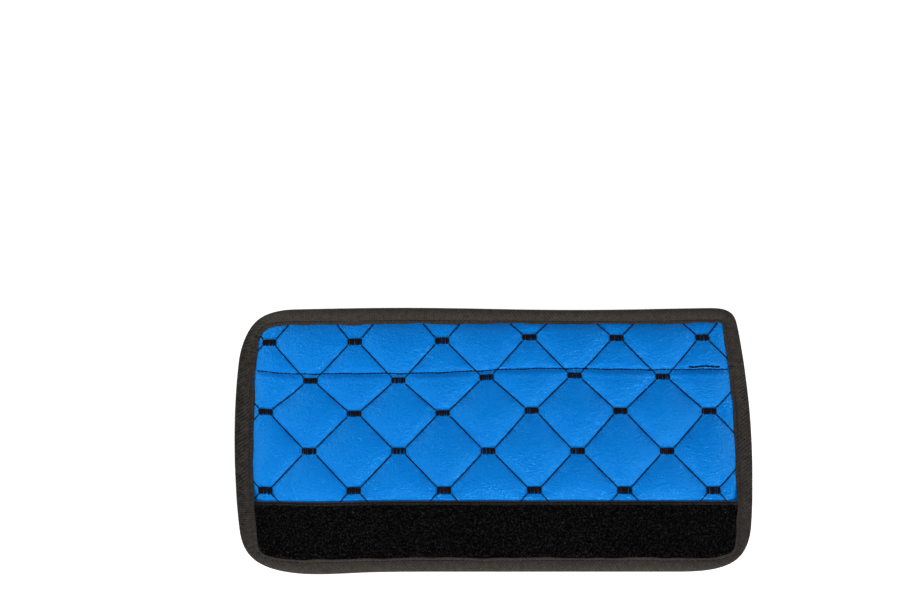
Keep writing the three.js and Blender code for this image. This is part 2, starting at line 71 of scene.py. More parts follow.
# %% Sizes of the quilting, the strips and the layers, in millimetres
COLUMN_PITCH, ROW_PITCH = 25.0, 21.85
QUILT_X, QUILT_Y = -2.9, -8.2  # one bar tack, from which all the others are counted
TACK_LENGTH, TACK_WIDTH = 8.0, 4.0
RUN_X, RUN_Y = COLUMN_PITCH - TACK_LENGTH, ROW_PITCH - TACK_WIDTH  # one line, from tack to tack
LINE_LENGTH = math.hypot(RUN_X, RUN_Y)
TAPE, GAP = 0.7, 0.3
LINING, COVER, CREST = 0.5, 0.9, 4.6
LOOP_WIDTH, HOOK_WIDTH = 38, 36
LOOP_EDGE = -HALF_DEPTH + TAPE_BOTTOM * SHEET_EDGE + LOOP_WIDTH
HOOK_EDGE = HALF_DEPTH - TAPE_TOP * SHEET_EDGE - HOOK_WIDTH
HOOK_SEAM = HOOK_EDGE + 2
HOOK_LIFT = 1.5  # the hook strip and the gap over it
LIFT_START, LIFT_END = HOOK_EDGE - 1.9, HOOK_EDGE - 0.3
HEM = LOOP_EDGE + 0.3
LINING_LEVEL = TAPE + GAP
FOAM_LEVEL = LINING_LEVEL + LINING + GAP
COVER_LEVEL = 4.2
TAPE_TOP_LEVEL = 5.2
LOOP_LEVEL = 5.5
print("hook strip edge", round(HOOK_EDGE, 2), "loop strip edge", round(LOOP_EDGE, 2))


# %% Where sewing leaves a point of the plan
def ramp(value, start, end):
    return np.clip((value - start) / (end - start), 0, 1)


def smooth(value, start, end):
    share = ramp(value, start, end)
    return share * share * (3 - 2 * share)


def seam_wander(x, y):
    """How far the middle rows drift up and down along the pad, and how its left end rises."""
    drift = -1.5 + 3.4 * smooth(x, -50, 35) - 1.0 * smooth(x, 40, 100)
    rows = smooth(y, -10, 32) * (1 - smooth(y, 57, 72))
    tail = 3.2 * (1 - smooth(x, -140, -108))
    return drift * rows + tail * np.exp(-(((y - 28) / 18) ** 2))


SIDE_BOW, WIDEST_AT = 0.045, 14
GATHER, SKEW, GATHER_FROM = 0.023, 0.022, 13
SEAM_TAKE_UP = 3
TOP_WAVE, HEM_SAG = 0.6, 1.4


def sewn(plan):
    """Where points of the plan lie on the sewn pad: gathered, skewed, waved, and taken up by the seam."""
    x, y = plan[..., 0], plan[..., 1]
    bow = SIDE_BOW * (x / HALF_LENGTH) ** 4 * ((y - WIDEST_AT) / HALF_DEPTH) ** 2
    gathered = GATHER * (y - GATHER_FROM) / HALF_DEPTH
    wave = TOP_WAVE * np.sin(2 * math.pi * (x + 100) / 200) * ramp(y, 0, HALF_DEPTH)
    sag = HEM_SAG * np.exp(-(((x + 98) / 25) ** 2)) * ramp(y, 0, -HALF_DEPTH)
    taken_up = SEAM_TAKE_UP * ramp(y, QUILT_Y + ROW_PITCH, QUILT_Y + 2 * ROW_PITCH)
    new_x = x * (1 - gathered) * (1 - bow) - SKEW * (y - GATHER_FROM)
    new_y = y - taken_up + wave - sag + seam_wander(x, y)
    return np.stack([new_x, new_y], -1)


# %% Places round the rim
def rim_stations(step):
    """Places about one step apart round the rim, anticlockwise from the upper end of the lower left corner.

    A row holds the curve's centre, its side, the cosine and sine of its turn, and its two fullnesses.
    """
    rows = []

    def corner(name, side_x, side_y, start, end):
        centre_x = side_x * (HALF_LENGTH - CORNER_LENGTH[name])
        centre_y = side_y * (HALF_DEPTH - CORNER_DEPTH[name])
        arc = 0.78 * (CORNER_LENGTH[name] + CORNER_DEPTH[name])
        steps = max(5, round(arc / step))
        for turn in np.linspace(start, end, steps, endpoint=False) * math.pi / 2:
            full = (OUTER_FULLNESS[name], INNER_FULLNESS[name])
            rows.append((centre_x, centre_y, side_x, side_y, abs(math.cos(turn)), math.sin(turn), *full))

    def side(start, end, entry):
        steps = max(2, round(abs(end - start) / step))
        rows.extend(entry(place) for place in np.linspace(start, end, steps, endpoint=False))

    left = {name: -HALF_LENGTH + CORNER_LENGTH[name] for name in ("bottom_left", "top_left")}
    right = {name: HALF_LENGTH - CORNER_LENGTH[name] for name in ("bottom_right", "top_right")}
    low = {name: -HALF_DEPTH + CORNER_DEPTH[name] for name in ("bottom_left", "bottom_right")}
    high = {name: HALF_DEPTH - CORNER_DEPTH[name] for name in ("top_left", "top_right")}
    corner("bottom_left", -1, -1, 0, 1)
    side(left["bottom_left"], right["bottom_right"], lambda x: (x, 0, 0, -1, 0, 1, 2, 2))
    corner("bottom_right", 1, -1, 1, 0)
    side(low["bottom_right"], high["top_right"], lambda y: (0, y, 1, 0, 1, 0, 2, 2))
    corner("top_right", 1, 1, 0, 1)
    side(right["top_right"], left["top_left"], lambda x: (x, 0, 0, 1, 0, 1, 2, 2))
    corner("top_left", -1, 1, 1, 0)
    side(high["top_left"], low["bottom_left"], lambda y: (0, y, -1, 0, 1, 0, 2, 2))
    return np.array(rows, float)


def rim(stations, inward):
    """Plan points at those stations. Inward is 0 at the outer fold of the tape and 1 at its inner edge."""
    centre_x, centre_y, side_x, side_y, cosine, sine, outer, inner = stations.T
    fullness = outer + (inner - outer) * inward
    reach = (cosine**fullness + sine**fullness) ** (-1 / fullness)
    edge_x = np.where(side_x < 0, -HALF_LENGTH + TAPE_LEFT * inward, HALF_LENGTH - TAPE_RIGHT * inward)
    edge_y = np.where(side_y < 0, -HALF_DEPTH + TAPE_BOTTOM * inward, HALF_DEPTH - TAPE_TOP * inward)
    x = centre_x + side_x * np.abs(edge_x - centre_x) * cosine * reach
    y = centre_y + side_y * np.abs(edge_y - centre_y) * sine * reach
    return np.stack([x, y], -1)


rim_line = sewn(rim(rim_stations(1.0), 0))
RIM_CENTRE = (rim_line.min(0) + rim_line.max(0)) / 2


def face_lift(y):
    """How far the face is lifted by the hook strip under it. The foam spreads the step out."""
    return HOOK_LIFT * smooth(y, 22, 45)


def lay(plan, height):
    """Plan points and heights as places on the sewn pad, in millimetres."""
    flat = sewn(plan) - RIM_CENTRE
    return np.concatenate([flat, np.broadcast_to(height, flat.shape[:-1])[..., None]], -1)


print("sewn rim in mm:", np.round(rim_line.max(0) - rim_line.min(0), 1))


# %% How far a point lies inside a closed line
def inside(loop, points):
    """How deep points lie inside a closed convex line, less than 0 outside, and the nearest places on it."""
    along = np.roll(loop, -1, axis=0) - loop
    length = np.hypot(along[:, 0], along[:, 1])
    kept = length > 1e-6
    start, along, length = loop[kept], along[kept], length[kept]
    depths, places = [], []
    for part in np.array_split(points, max(1, len(points) // 4000)):
        offset = part[:, None] - start
        share = np.clip((offset * along).sum(-1) / length**2, 0, 1)
        place = start + share[..., None] * along
        distance = np.hypot(*np.moveaxis(part[:, None] - place, -1, 0))
        nearest = distance.argmin(1)
        pick = np.arange(len(part))
        side = ((along[:, 0] * offset[..., 1] - along[:, 1] * offset[..., 0]) / length).min(1)
        depths.append(np.where(side >= 0, distance[pick, nearest], -distance[pick, nearest]))
        places.append(place[pick, nearest])
    return np.concatenate(depths), np.concatenate(places)


INNER_RIM = rim(rim_stations(1.0), 1)
SHEET_RIM = rim(rim_stations(1.0), SHEET_EDGE)

# %% [markdown]
# ## The shape of the quilting
#
# Between its stitched lines, a quilted cover stands up like a skin over soft foam. Its height follows one
# simple law: each point is pulled level with its neighbours by the skin, pushed up by the foam, and held
# down at the stitches. That law is solved here on a lattice whose rows and columns run so that every
# stitched line is a diagonal of the lattice, and its creases come out straight and sharp.

# %% A lattice whose diagonals are the quilting lines
RUN_STEPS = 17
lattice_x = QUILT_X + np.arange(-143.0, 149.0)
run_rows = TACK_WIDTH / 2 + RUN_Y / RUN_STEPS * np.arange(RUN_STEPS + 1)
row_offsets = np.concatenate([[0, 1], run_rows, [ROW_PITCH - 1]])
quilt_rows = np.concatenate([QUILT_Y + ROW_PITCH * row + row_offsets for row in range(-2, 4)])
quilt_rows = quilt_rows[(quilt_rows > HEM - 0.9) & (quilt_rows < HALF_DEPTH)]
hem_rows = np.array([-75, -73.5, -70, -65, -60, -55, -50, -45, -41, -38.5, -37.3])
lattice_y = np.concatenate([hem_rows, quilt_rows])
plan_x, plan_y = np.meshgrid(lattice_x, lattice_y)
print("lattice", plan_x.shape)


# %% How far each point lies from the stitches of the quilting
def quilt_distance(x, y):
    """Millimetres to the nearest quilting line, 0 on a bar tack, and the column and row of the cell."""
    column, row = np.floor((x - QUILT_X) / COLUMN_PITCH), np.floor((y - QUILT_Y) / ROW_PITCH)
    best, best_column, best_row = np.full(x.shape, -1e3), column, row
    for step_column in (0, 1):
        for step_row in (0, 1):
            near_column, near_row = column + step_column, row + step_row
            across = np.abs(x - QUILT_X - near_column * COLUMN_PITCH)
            up = np.abs(y - QUILT_Y - near_row * ROW_PITCH)
            reach_x, reach_y = COLUMN_PITCH - TACK_LENGTH / 2, ROW_PITCH - TACK_WIDTH / 2
            line = (RUN_X * (reach_y - up) + RUN_Y * (TACK_LENGTH / 2 - across)) / LINE_LENGTH
            distance = np.minimum(line, np.minimum(reach_x - across, reach_y - up))
            is_cell = (near_column + near_row) % 2 == 1
            better = is_cell & (distance > best)
            best = np.where(better, distance, best)
            best_column = np.where(better, near_column, best_column)
            best_row = np.where(better, near_row, best_row)
    return np.maximum(best, 0), best_column, best_row


line_distance, cell_column, cell_row = quilt_distance(plan_x, plan_y)
lattice_points = np.stack([plan_x, plan_y], -1).reshape(-1, 2)
tape_depth = inside(INNER_RIM, lattice_points)[0].reshape(plan_x.shape)
print("crest of a cell lies", round(float(line_distance.max()), 2), "mm from its lines")


# %% Where the stitches hold the cover, and at what level
def own_number(a, b, seed):
    """A steady number from 0 to 1 for each pair of whole numbers."""
    return np.modf(np.abs(np.sin(a * 12.9898 + b * 78.233 + seed * 37.719) * 43758.5453))[0]


seam_row = int(np.abs(lattice_y - HOOK_SEAM).argmin())
SEAM_LINE = lattice_y[seam_row]
held = (line_distance < 0.05) | (tape_depth <= 0) | (plan_y <= HEM + 0.6)
held[seam_row] = True
to_tack = np.abs((plan_x - QUILT_X) / COLUMN_PITCH - np.round((plan_x - QUILT_X) / COLUMN_PITCH)) * 2
slack = np.sin(math.pi * np.clip(to_tack, 0, 1)) ** 2
# A line lies at a share of the crest, higher halfway between two tacks, and each cell has its own share.
level = CREST * (0.2 + 0.1 * slack + 0.05 * (own_number(cell_column, cell_row, 1) - 0.5))
seam_level = CREST * (0.13 + 0.1 * line_distance[seam_row] / 16)
level[seam_row] = np.where(tape_depth[seam_row] > 0, seam_level * ramp(tape_depth[seam_row], 0, 8), 0)
level = np.where((tape_depth <= 0) | (plan_y <= HEM), 0, level)
level = np.minimum(level, CREST * 0.35 * ramp(tape_depth, 0, 4) + 1e-9)
beside_strip = (plan_y > HEM) & (plan_y <= HEM + 0.6)
level = np.where(beside_strip, 1.05 * ramp(tape_depth, 0, 5), level)
print("stitches, tape and hem hold", int(held.sum()), "of", held.size, "points of the lattice")


# %% Let the foam push the cover up between its stitches
SKIN_REACH = 7.0
OVER_STEP = 1.6  # each round moves a point this many times the way to its balance, to arrive sooner


def relaxed(push, edge_level, rounds=900):
    """Heights of a skin held at the stitches and pushed up by the foam elsewhere."""
    height = np.where(held, edge_level, edge_level.mean())
    stiffness = 4 + 1.0 / SKIN_REACH**2
    odd = (np.add.outer(np.arange(height.shape[0]), np.arange(height.shape[1])) % 2).astype(bool)
    for _ in range(rounds):
        for colour in (odd, ~odd):
            near = np.pad(height, 1, mode="edge")
            neighbours = near[:-2, 1:-1] + near[2:, 1:-1] + near[1:-1, :-2] + near[1:-1, 2:]
            drawn = (neighbours + push / SKIN_REACH**2) / stiffness
            moved = height + OVER_STEP * (drawn - height)
            height = np.where(colour & ~held, moved, height)
    return height


cell_push = 0.94 + 0.12 * own_number(cell_column, cell_row, 2)
flat_level = relaxed(np.zeros_like(level), level)
lift = relaxed(cell_push, np.zeros_like(level))
far_from_edges = (tape_depth > 14) & (plan_y > HEM + 14) & (np.abs(plan_y - SEAM_LINE) > 12)
full_cells = (line_distance > 15.5) & far_from_edges
foam_push = (CREST - flat_level[full_cells].mean()) / lift[full_cells].mean()
rise = flat_level + foam_push * lift
print("crests", np.round(rise[full_cells].min(), 2), "to", np.round(rise.max(), 2), "mm")


# %% Small puckers along the stitched lines
def line_rises_at(x, y):
    """Whether the quilting line through that block of the plan rises to the right."""
    return (np.floor((x - QUILT_X) / COLUMN_PITCH) + np.floor((y - QUILT_Y) / ROW_PITCH)) % 2 == 0


def beside_lines(fade, start, full):
    """A share that is 0 on the stitches, grows beside them and fades away from them, clear of the edges."""
    near = np.exp(-line_distance / fade) * ramp(line_distance, start, full)
    return near * ramp(tape_depth, 0, 3) * ramp(plan_y - HEM, 0, 3)


slope_sign = np.where(line_rises_at(plan_x, plan_y), 1, -1)
along_line = (RUN_X * plan_x + slope_sign * RUN_Y * plan_y) / LINE_LENGTH
across_line = (RUN_Y * plan_x - slope_sign * RUN_X * plan_y) / LINE_LENGTH
pucker = np.sin(2 * math.pi * along_line / 5.4 + 6 * own_number(cell_column, cell_row, 3))
puckers = 0.18 * pucker * beside_lines(2.6, 0, 1.2)
rise = rise + puckers
bent = 2.1 * np.sin(across_line / 1.3 + 5 * own_number(cell_column, cell_row, 8))
crinkle = np.sin(2 * math.pi * along_line / 2.9 + bent)
rise = rise + 0.085 * crinkle * beside_lines(3.6, 0.4, 2.2)
print("puckers stand up to", round(float(puckers.max()), 2), "mm out of the face")

# %% Dimples and pleats round the bar tacks
tack_column = np.round((plan_x - QUILT_X) / COLUMN_PITCH)
tack_row = np.round((plan_y - QUILT_Y) / ROW_PITCH)
nearest_is_tack = (tack_column + tack_row) % 2 == 0
from_tack_x = plan_x - QUILT_X - tack_column * COLUMN_PITCH
from_tack_y = plan_y - QUILT_Y - tack_row * ROW_PITCH
dimple = np.exp(-(((np.abs(from_tack_x) - 6.8) / 2.2) ** 2) - (from_tack_y / 2.6) ** 2)
dimple += 0.5 * np.exp(-((from_tack_x / 3.5) ** 2) - ((np.abs(from_tack_y) - 4.6) / 1.6) ** 2)
turned = np.arctan2(from_tack_y, from_tack_x)
beyond = np.hypot(from_tack_x / 1.6, from_tack_y) - 3
pleats = np.cos(9 * turned + 6 * own_number(tack_column, tack_row, 4))
pleats = pleats * np.exp(-np.maximum(beyond, 0) / 2.6) * ramp(beyond, 0, 1.5)
open_face = ramp(tape_depth, 0, 3) * ramp(plan_y - HEM, 0, 3) * ramp(line_distance, 0, 1.0) * nearest_is_tack
rise = rise - (0.42 * dimple - 0.12 * pleats) * open_face
print("deepest dimple", round(float(0.42 * (dimple * open_face).max()), 2), "mm")

# %% Swells and puckers along the seam
from_seam = np.abs(plan_y - SEAM_LINE)
seam_pucker = np.sin(2 * math.pi * plan_x / 6.1 + 1.3 * np.sin(plan_x / 9)) * np.exp(-from_seam / 2.4)
seam_swell = 0.62 * np.exp(-(((plan_y - SEAM_LINE + 2.9) / 1.6) ** 2))
seam_swell += 0.3 * np.exp(-(((plan_y - SEAM_LINE - 2.6) / 1.6) ** 2))
rise = rise + seam_swell * ramp(line_distance, 0, 3) * ramp(tape_depth, 0, 5)
rise = rise + 0.16 * seam_pucker * ramp(from_seam, 0, 1.1) * ramp(tape_depth, 0, 3)
cover_top = COVER_LEVEL + face_lift(plan_y) + rise


def sampled(grid, plan):
    """A value of the lattice at any point of the plan, between its four nearest places."""
    column = np.interp(plan[..., 0], lattice_x, np.arange(len(lattice_x)))
    row = np.interp(plan[..., 1], lattice_y, np.arange(len(lattice_y)))
    left = np.minimum(column.astype(int), len(lattice_x) - 2)
    low = np.minimum(row.astype(int), len(lattice_y) - 2)
    share_x, share_y = column - left, row - low
    lower = grid[low, left] * (1 - share_x) + grid[low, left + 1] * share_x
    upper = grid[low + 1, left] * (1 - share_x) + grid[low + 1, left + 1] * share_x
    return lower * (1 - share_y) + upper * share_y


print("face rises up to", round(float(rise.max()), 2), "mm over its edge")

# %% [markdown]
# ## Cutting and shaping sheets
#
# Every layer starts as Blender's own grid, as a layer of cloth starts as a cut sheet. Its points are moved
# to their places in code, what lies outside the rim is deleted, and the points beside the cut are drawn on
# to the cut line. A Solidify modifier then gives the sheet its real thickness.


# %% Helpers for sheets
def cut_grid(name, columns, rows):
    bpy.ops.object.select_all(action="DESELECT")
    bpy.ops.mesh.primitive_grid_add(x_subdivisions=columns, y_subdivisions=rows, size=1, calc_uvs=True)
    piece = bpy.context.object
    piece.name = piece.data.name = name
    return piece


def points_of(piece):
    places = np.empty(len(piece.data.vertices) * 3)
    piece.data.vertices.foreach_get("co", places)
    return places.reshape(-1, 3)


def move_points(piece, places_mm):
    piece.data.vertices.foreach_set("co", (np.asarray(places_mm) * MM).ravel())
    piece.data.update()


def grid_shares(piece, columns, rows):
    """The column and row of each point of a fresh grid, which lies from -0.5 to 0.5 both ways."""
    places = points_of(piece)[:, :2] + 0.5
    return np.rint(places[:, 0] * columns).astype(int), np.rint(places[:, 1] * rows).astype(int)


def keep_active(piece):
    bpy.ops.object.select_all(action="DESELECT")
    piece.select_set(True)
    bpy.context.view_layer.objects.active = piece


def select_faces(piece, chosen):
    """Enter edit mode with just these faces of the piece selected."""
    keep_active(piece)
    bpy.ops.object.mode_set(mode="EDIT")
    bpy.ops.mesh.select_mode(type="FACE")
    bpy.ops.mesh.select_all(action="DESELECT")
    bpy.ops.object.mode_set(mode="OBJECT")
    piece.data.polygons.foreach_set("select", chosen)
    bpy.ops.object.mode_set(mode="EDIT")


def delete_faces(piece, dead):
    select_faces(piece, dead)
    bpy.ops.mesh.delete(type="FACE")
    bpy.ops.mesh.select_all(action="SELECT")
    bpy.ops.mesh.delete_loose()
    bpy.ops.object.mode_set(mode="OBJECT")


def select_open_edges():
    bpy.ops.mesh.select_mode(type="EDGE")
    bpy.ops.mesh.select_all(action="DESELECT")
    bpy.ops.mesh.select_non_manifold(extend=False)


def point_outwards():
    """Turn all the faces of a closed piece outwards, and leave edit mode."""
    bpy.ops.mesh.select_all(action="SELECT")
    bpy.ops.mesh.normals_make_consistent(inside=False)
    bpy.ops.object.mode_set(mode="OBJECT")


def turn_over(piece):
    """Make the faces of a sheet point down, for a sheet that shows on the back."""
    keep_active(piece)
    bpy.ops.object.mode_set(mode="EDIT")
    bpy.ops.mesh.select_all(action="SELECT")
    bpy.ops.mesh.flip_normals()
    bpy.ops.object.mode_set(mode="OBJECT")


def faces_with(piece, flags):
    """Which faces have all their corners flagged."""
    corners = np.empty(len(piece.data.loops), int)
    piece.data.loops.foreach_get("vertex_index", corners)
    totals = np.empty(len(piece.data.polygons), int)
    piece.data.polygons.foreach_get("loop_total", totals)
    starts = np.concatenate([[0], np.cumsum(totals)[:-1]])
    return np.add.reduceat(flags[corners].astype(int), starts) == totals


def thicken(piece, thickness_mm):
    """Give a sheet its thickness, behind its faces."""
    keep_active(piece)
    bpy.ops.object.modifier_add(type="SOLIDIFY")
    modifier = piece.modifiers[-1]
    modifier.thickness, modifier.offset = thickness_mm * MM, -1
    bpy.ops.object.modifier_apply(modifier=modifier.name)


def smooth_faces(piece, angle=40):
    keep_active(piece)
    bpy.ops.object.shade_smooth_by_angle(angle=math.radians(angle))


def face_count(piece):
    return sum(len(face.vertices) - 2 for face in piece.data.polygons)


def lattice_sheet(name, xs, ys, height_at):
    """A sheet over those lines of the plan, cut at the sheets' rim, at the heights that height_at gives."""
    piece = cut_grid(name, len(xs) - 1, len(ys) - 1)
    column, row = grid_shares(piece, len(xs) - 1, len(ys) - 1)
    plan = np.stack([xs[column], ys[row]], -1)
    depth, nearest = inside(SHEET_RIM, plan)
    out = depth < 0
    plan[out] = nearest[out]
    move_points(piece, lay(plan, height_at(plan)))
    delete_faces(piece, faces_with(piece, out))
    return piece


# %% [markdown]
# ## The leatherette cover
#
# The cover is the blue skin on the face. Its grid follows the lattice, so each quilting line runs along a
# diagonal of the faces. The faces are split along those diagonals, first those with one slope and then the
# others, so that no face lies across a line.

# %% Cut the cover and move it to its heights
cover = cut_grid("quilted_cover", len(lattice_x) - 1, len(lattice_y) - 1)
column, row = grid_shares(cover, len(lattice_x) - 1, len(lattice_y) - 1)
cover_plan = np.stack([lattice_x[column], lattice_y[row]], -1)
cover_depth, cover_nearest = inside(SHEET_RIM, cover_plan)
outside = cover_depth < 0
cover_height = cover_top[row, column]
cover_height[outside] = COVER_LEVEL + face_lift(cover_nearest[outside][:, 1])
cover_plan[outside] = cover_nearest[outside]
move_points(cover, lay(cover_plan, cover_height))
print("cover cut from", len(cover.data.polygons), "faces")

# %% Split its faces along the quilting lines
corner_sets = np.array([tuple(face.vertices) for face in cover.data.polygons])
middle_x = lattice_x[column][corner_sets].mean(1)
middle_y = lattice_y[row][corner_sets].mean(1)
line_rises = line_rises_at(middle_x, middle_y)
low_left = (column[corner_sets] + row[corner_sets]).argmin(1)


def split_faces(piece, chosen, method):
    """Cut quads in two, all along the same diagonal of each."""
    select_faces(piece, chosen)
    bpy.ops.mesh.quads_convert_to_tris(quad_method=method, ngon_method="BEAUTY")
    bpy.ops.object.mode_set(mode="OBJECT")


split_faces(cover, line_rises == (low_left % 2 == 0), "FIXED")
split_faces(cover, [len(face.vertices) == 4 for face in cover.data.polygons], "FIXED_ALTERNATE")
delete_faces(cover, faces_with(cover, outside))
thicken(cover, COVER)
smooth_faces(cover, 60)
print("cover", face_count(cover), "triangles")

# %% [markdown]
# ## The foam layer and the lining
#
# Nothing shows of the foam, but the cover needs its support, so it is a closed pad of its own a little below
# the cover. The lining is the cloth on the back. It bulges a little between the stitches, as the face does.

# %% How high and how low the foam lies
foam_x, foam_y = lattice_x[1::3], np.concatenate([lattice_y[1:11:2], lattice_y[11::3]])
low_top = cover_top - COVER - 0.45
# The foam's coarser grid could cut through the cover between its points, so it takes the lowest place near.
for axis in (0, 1):
    for _ in range(2):
        low_top = np.minimum(low_top, np.minimum(np.roll(low_top, 1, axis), np.roll(low_top, -1, axis)))


def foam_under(plan):
    return FOAM_LEVEL + 0.05 + HOOK_LIFT * smooth(plan[..., 1], LIFT_START - 3, LIFT_END)


def foam_top(plan):
    return np.maximum(sampled(low_top, plan), foam_under(plan) + 0.35)


print("foam grid", len(foam_x), "by", len(foam_y))

# %% Make the foam from two sheets, bridged at their rim
foam_low = lattice_sheet("foam_under", foam_x, foam_y, foam_under)
foam = lattice_sheet("foam_padding", foam_x, foam_y, foam_top)
turn_over(foam_low)
foam_low.select_set(True)
foam.select_set(True)
bpy.context.view_layer.objects.active = foam
bpy.ops.object.join()
bpy.ops.object.mode_set(mode="EDIT")
select_open_edges()
bpy.ops.mesh.bridge_edge_loops()
point_outwards()
smooth_faces(foam)
print("foam", face_count(foam), "triangles")

# %% Make the lining
lining_below = np.linspace(-75, LIFT_START - 1.5, 56)
lining_step = np.linspace(LIFT_START - 0.5, LIFT_END + 0.5, 5)
lining_above = np.linspace(LIFT_END + 2, 75, 18)
lining_y = np.concatenate([lining_below, lining_step, lining_above])
lining_x = np.linspace(-HALF_LENGTH, HALF_LENGTH, 147)


def line_puff(plan):
    """How far the back stands out between the quilting lines, from 0 on a line or under the tape to 1."""
    distance = quilt_distance(plan[..., 0], plan[..., 1])[0]
    depth = inside(INNER_RIM, plan.reshape(-1, 2))[0].reshape(plan.shape[:-1])
    return smooth(np.minimum(distance, depth), 0, 7)


def lining_under(plan):
    puff = line_puff(plan) * ramp(LIFT_START - plan[..., 1], 0, 4)
    return LINING_LEVEL + HOOK_LIFT * ramp(plan[..., 1], LIFT_START, LIFT_END) - 0.5 * puff


lining = lattice_sheet("back_lining", lining_x, lining_y, lining_under)
turn_over(lining)
thicken(lining, LINING)
smooth_faces(lining)
print("lining", face_count(lining), "triangles")

# %% [markdown]
# ## The binding tape
#
# One woven tape is folded over the raw edge of all the layers and sewn down near its inner edge. It is one
# closed section carried round the rim. The ring starts as a grid too, with one column for each place round
# the rim and one row for each corner of the section, so the weave can follow the grid's own UV map.


# %% Carry a closed section along a line
def carried_section(name, places_mm):
    """A closed ring through sections: places_mm has one row of places for each station, in millimetres."""
    stations, corners = places_mm.shape[:2]
    piece = cut_grid(name, stations, corners)
    column, row = grid_shares(piece, stations, corners)
    move_points(piece, places_mm[column % stations, row % corners])
    keep_active(piece)
    bpy.ops.object.mode_set(mode="EDIT")
    bpy.ops.mesh.select_all(action="SELECT")
    bpy.ops.mesh.remove_doubles(threshold=1e-7)
    point_outwards()
    return piece


# %% The section of the tape
FROM_HEM, ON_HEM = HEM + 9, HEM - 0.5  # where the tape climbs from the cover on to the loop strip
LAP_FROM, LAP_TO, LAP_RISE = -2.5, 14, 0.6
section = [
    # inward, share of the height, height added in mm, share of the lap
    # the underside, from its inner edge past its stitch line to the fold
    (1.0, 0.0, 0.2, 0), (0.97, 0.0, 0.03, 0), (0.88, 0.0, 0.0, 0), (0.83, 0.0, 0.1, 0), (0.8, 0.0, 0.3, 0),
    (0.77, 0.0, 0.1, 0), (0.7, 0.0, 0.0, 0), (0.5, 0.0, 0.0, 0), (0.27, 0.0, 0.02, 0), (0.13, 0.06, 0.1, 0),
    (0.045, 0.22, 0.0, 0), (0.005, 0.42, 0.0, 0), (0.0, 0.58, 0.0, 0.2), (0.03, 0.76, 0.0, 0.5),
    # the face, from the fold over its roll and its stitch line to its inner edge
    (0.09, 0.9, 0.0, 0.8), (0.18, 0.98, 0.05, 1), (0.3, 1.0, 0.25, 1), (0.42, 1.0, 0.32, 1),
    (0.55, 1.0, 0.24, 1), (0.64, 1.0, 0.06, 1), (0.72, 1.0, -0.16, 1), (0.77, 1.0, -0.34, 1),
    (0.8, 1.0, -0.5, 1), (0.83, 1.0, -0.36, 1), (0.91, 1.0, -0.27, 1), (0.98, 1.0, -0.36, 1),
    # back inside the fold, under the face and over the underside
    (1.0, 1.0, -0.5, 0.6), (0.985, 1.0, -0.7, 0), (0.7, 1.0, -0.74, 0), (0.4, 1.0, -0.74, 0),
    (0.18, 0.8, 0.0, 0), (0.11, 0.6, 0.0, 0), (0.11, 0.35, 0.0, 0), (0.18, 0.0, 0.78, 0), (0.5, 0.0, 0.72, 0),
    (0.98, 0.0, 0.7, 0),
]
tape_stations = rim_stations(0.8)
tape_rim = rim(tape_stations, 0)
lower_side = tape_rim[:, 1] < LOOP_EDGE
tape_height = TAPE_TOP_LEVEL + face_lift(tape_rim[:, 1]) + 1.3 * ramp(tape_rim[:, 1], FROM_HEM, ON_HEM)
lap = LAP_RISE * ramp(tape_rim[:, 0], LAP_FROM, LAP_FROM + 0.5) * lower_side
lap = lap * (1 - ramp(tape_rim[:, 0], LAP_TO, LAP_TO + 0.5))
station_run = np.concatenate([[0], np.cumsum(np.hypot(*np.diff(sewn(tape_rim), axis=0).T))])
print("tape", len(tape_stations), "stations round", round(float(station_run[-1])), "mm")

# %% Creases, gathers and the wavering edge of the tape
CREASES = [  # x, y, height and width in mm: a crease of the tape, with a swell on each side of it
    (138, 41, 0.55, 1.6), (139, -9, 0.4, 2.0), (-134, 60, 0.5, 1.9), (-137, 50, 0.45, 1.7),
    (-140, 43, 0.5, 1.5), (-6, -70, 0.5, 1.2), (-104, -72, 0.35, 2.2), (-128, -66, 0.45, 1.9),
    (-134, -58, 0.4, 1.7), (132, -60, 0.4, 1.9),
]
rim_places = sewn(tape_rim) - RIM_CENTRE
creased = np.zeros(len(tape_stations))
for crease_x, crease_y, swelling, width in CREASES:
    at = station_run[np.hypot(rim_places[:, 0] - crease_x, rim_places[:, 1] - crease_y).argmin()]
    for side in (-1, 1):
        creased += swelling * np.exp(-(((station_run - at - side * width) / (0.8 * width)) ** 2))
    creased -= 0.75 * swelling * np.exp(-(((station_run - at) / (0.35 * width)) ** 2))
waver = 0.03 * np.sin(station_run / 9.3 + 1.0) + 0.022 * np.sin(station_run / 4.1)
waver = waver + 0.012 * np.sin(station_run / 2.3 + 2)
at_corner = np.abs(tape_stations[:, 2] * tape_stations[:, 3])
gathered = 0.2 * at_corner * np.sin(station_run / 0.7 + 2 * np.sin(station_run / 9))
print("creases", len(CREASES), "and gathers up to", round(float(gathered.max()), 2), "mm high")

# %% Make the tape
tape_places = np.empty((len(tape_stations), len(section), 3))
for index, (inward, height_share, added, lap_share) in enumerate(section):
    edge = inward + waver * ramp(inward, 0.5, 1.0)
    height = tape_height * height_share + added + lap * lap_share
    on_top = height_share > 0.85
    off_edge = inward < 0.95
    gathers = gathered * on_top * ramp(inward, 0.3, 0.9) * (0.4 + 0.6 * lower_side) * off_edge
    swell = 0.1 * np.sin(station_run / 13.0 + 2 * inward) * on_top
    folds = creased * on_top * off_edge * (0.35 + 0.65 * ramp(inward, 0.2, 0.7))
    tape_places[:, index] = lay(rim(tape_stations, edge), height + gathers + swell + folds)
binding = carried_section("binding_tape", tape_places)
smooth_faces(binding, 50)
print("binding", face_count(binding), "triangles")

# %% [markdown]
# ## The loop strip and the hook strip
#
# The loop strip has a woven edge and a pile of fine loops. The hook strip on the back has rows of small
# hooks. Each base is a flat sheet, and one loop or hook is modelled once and copied over it.

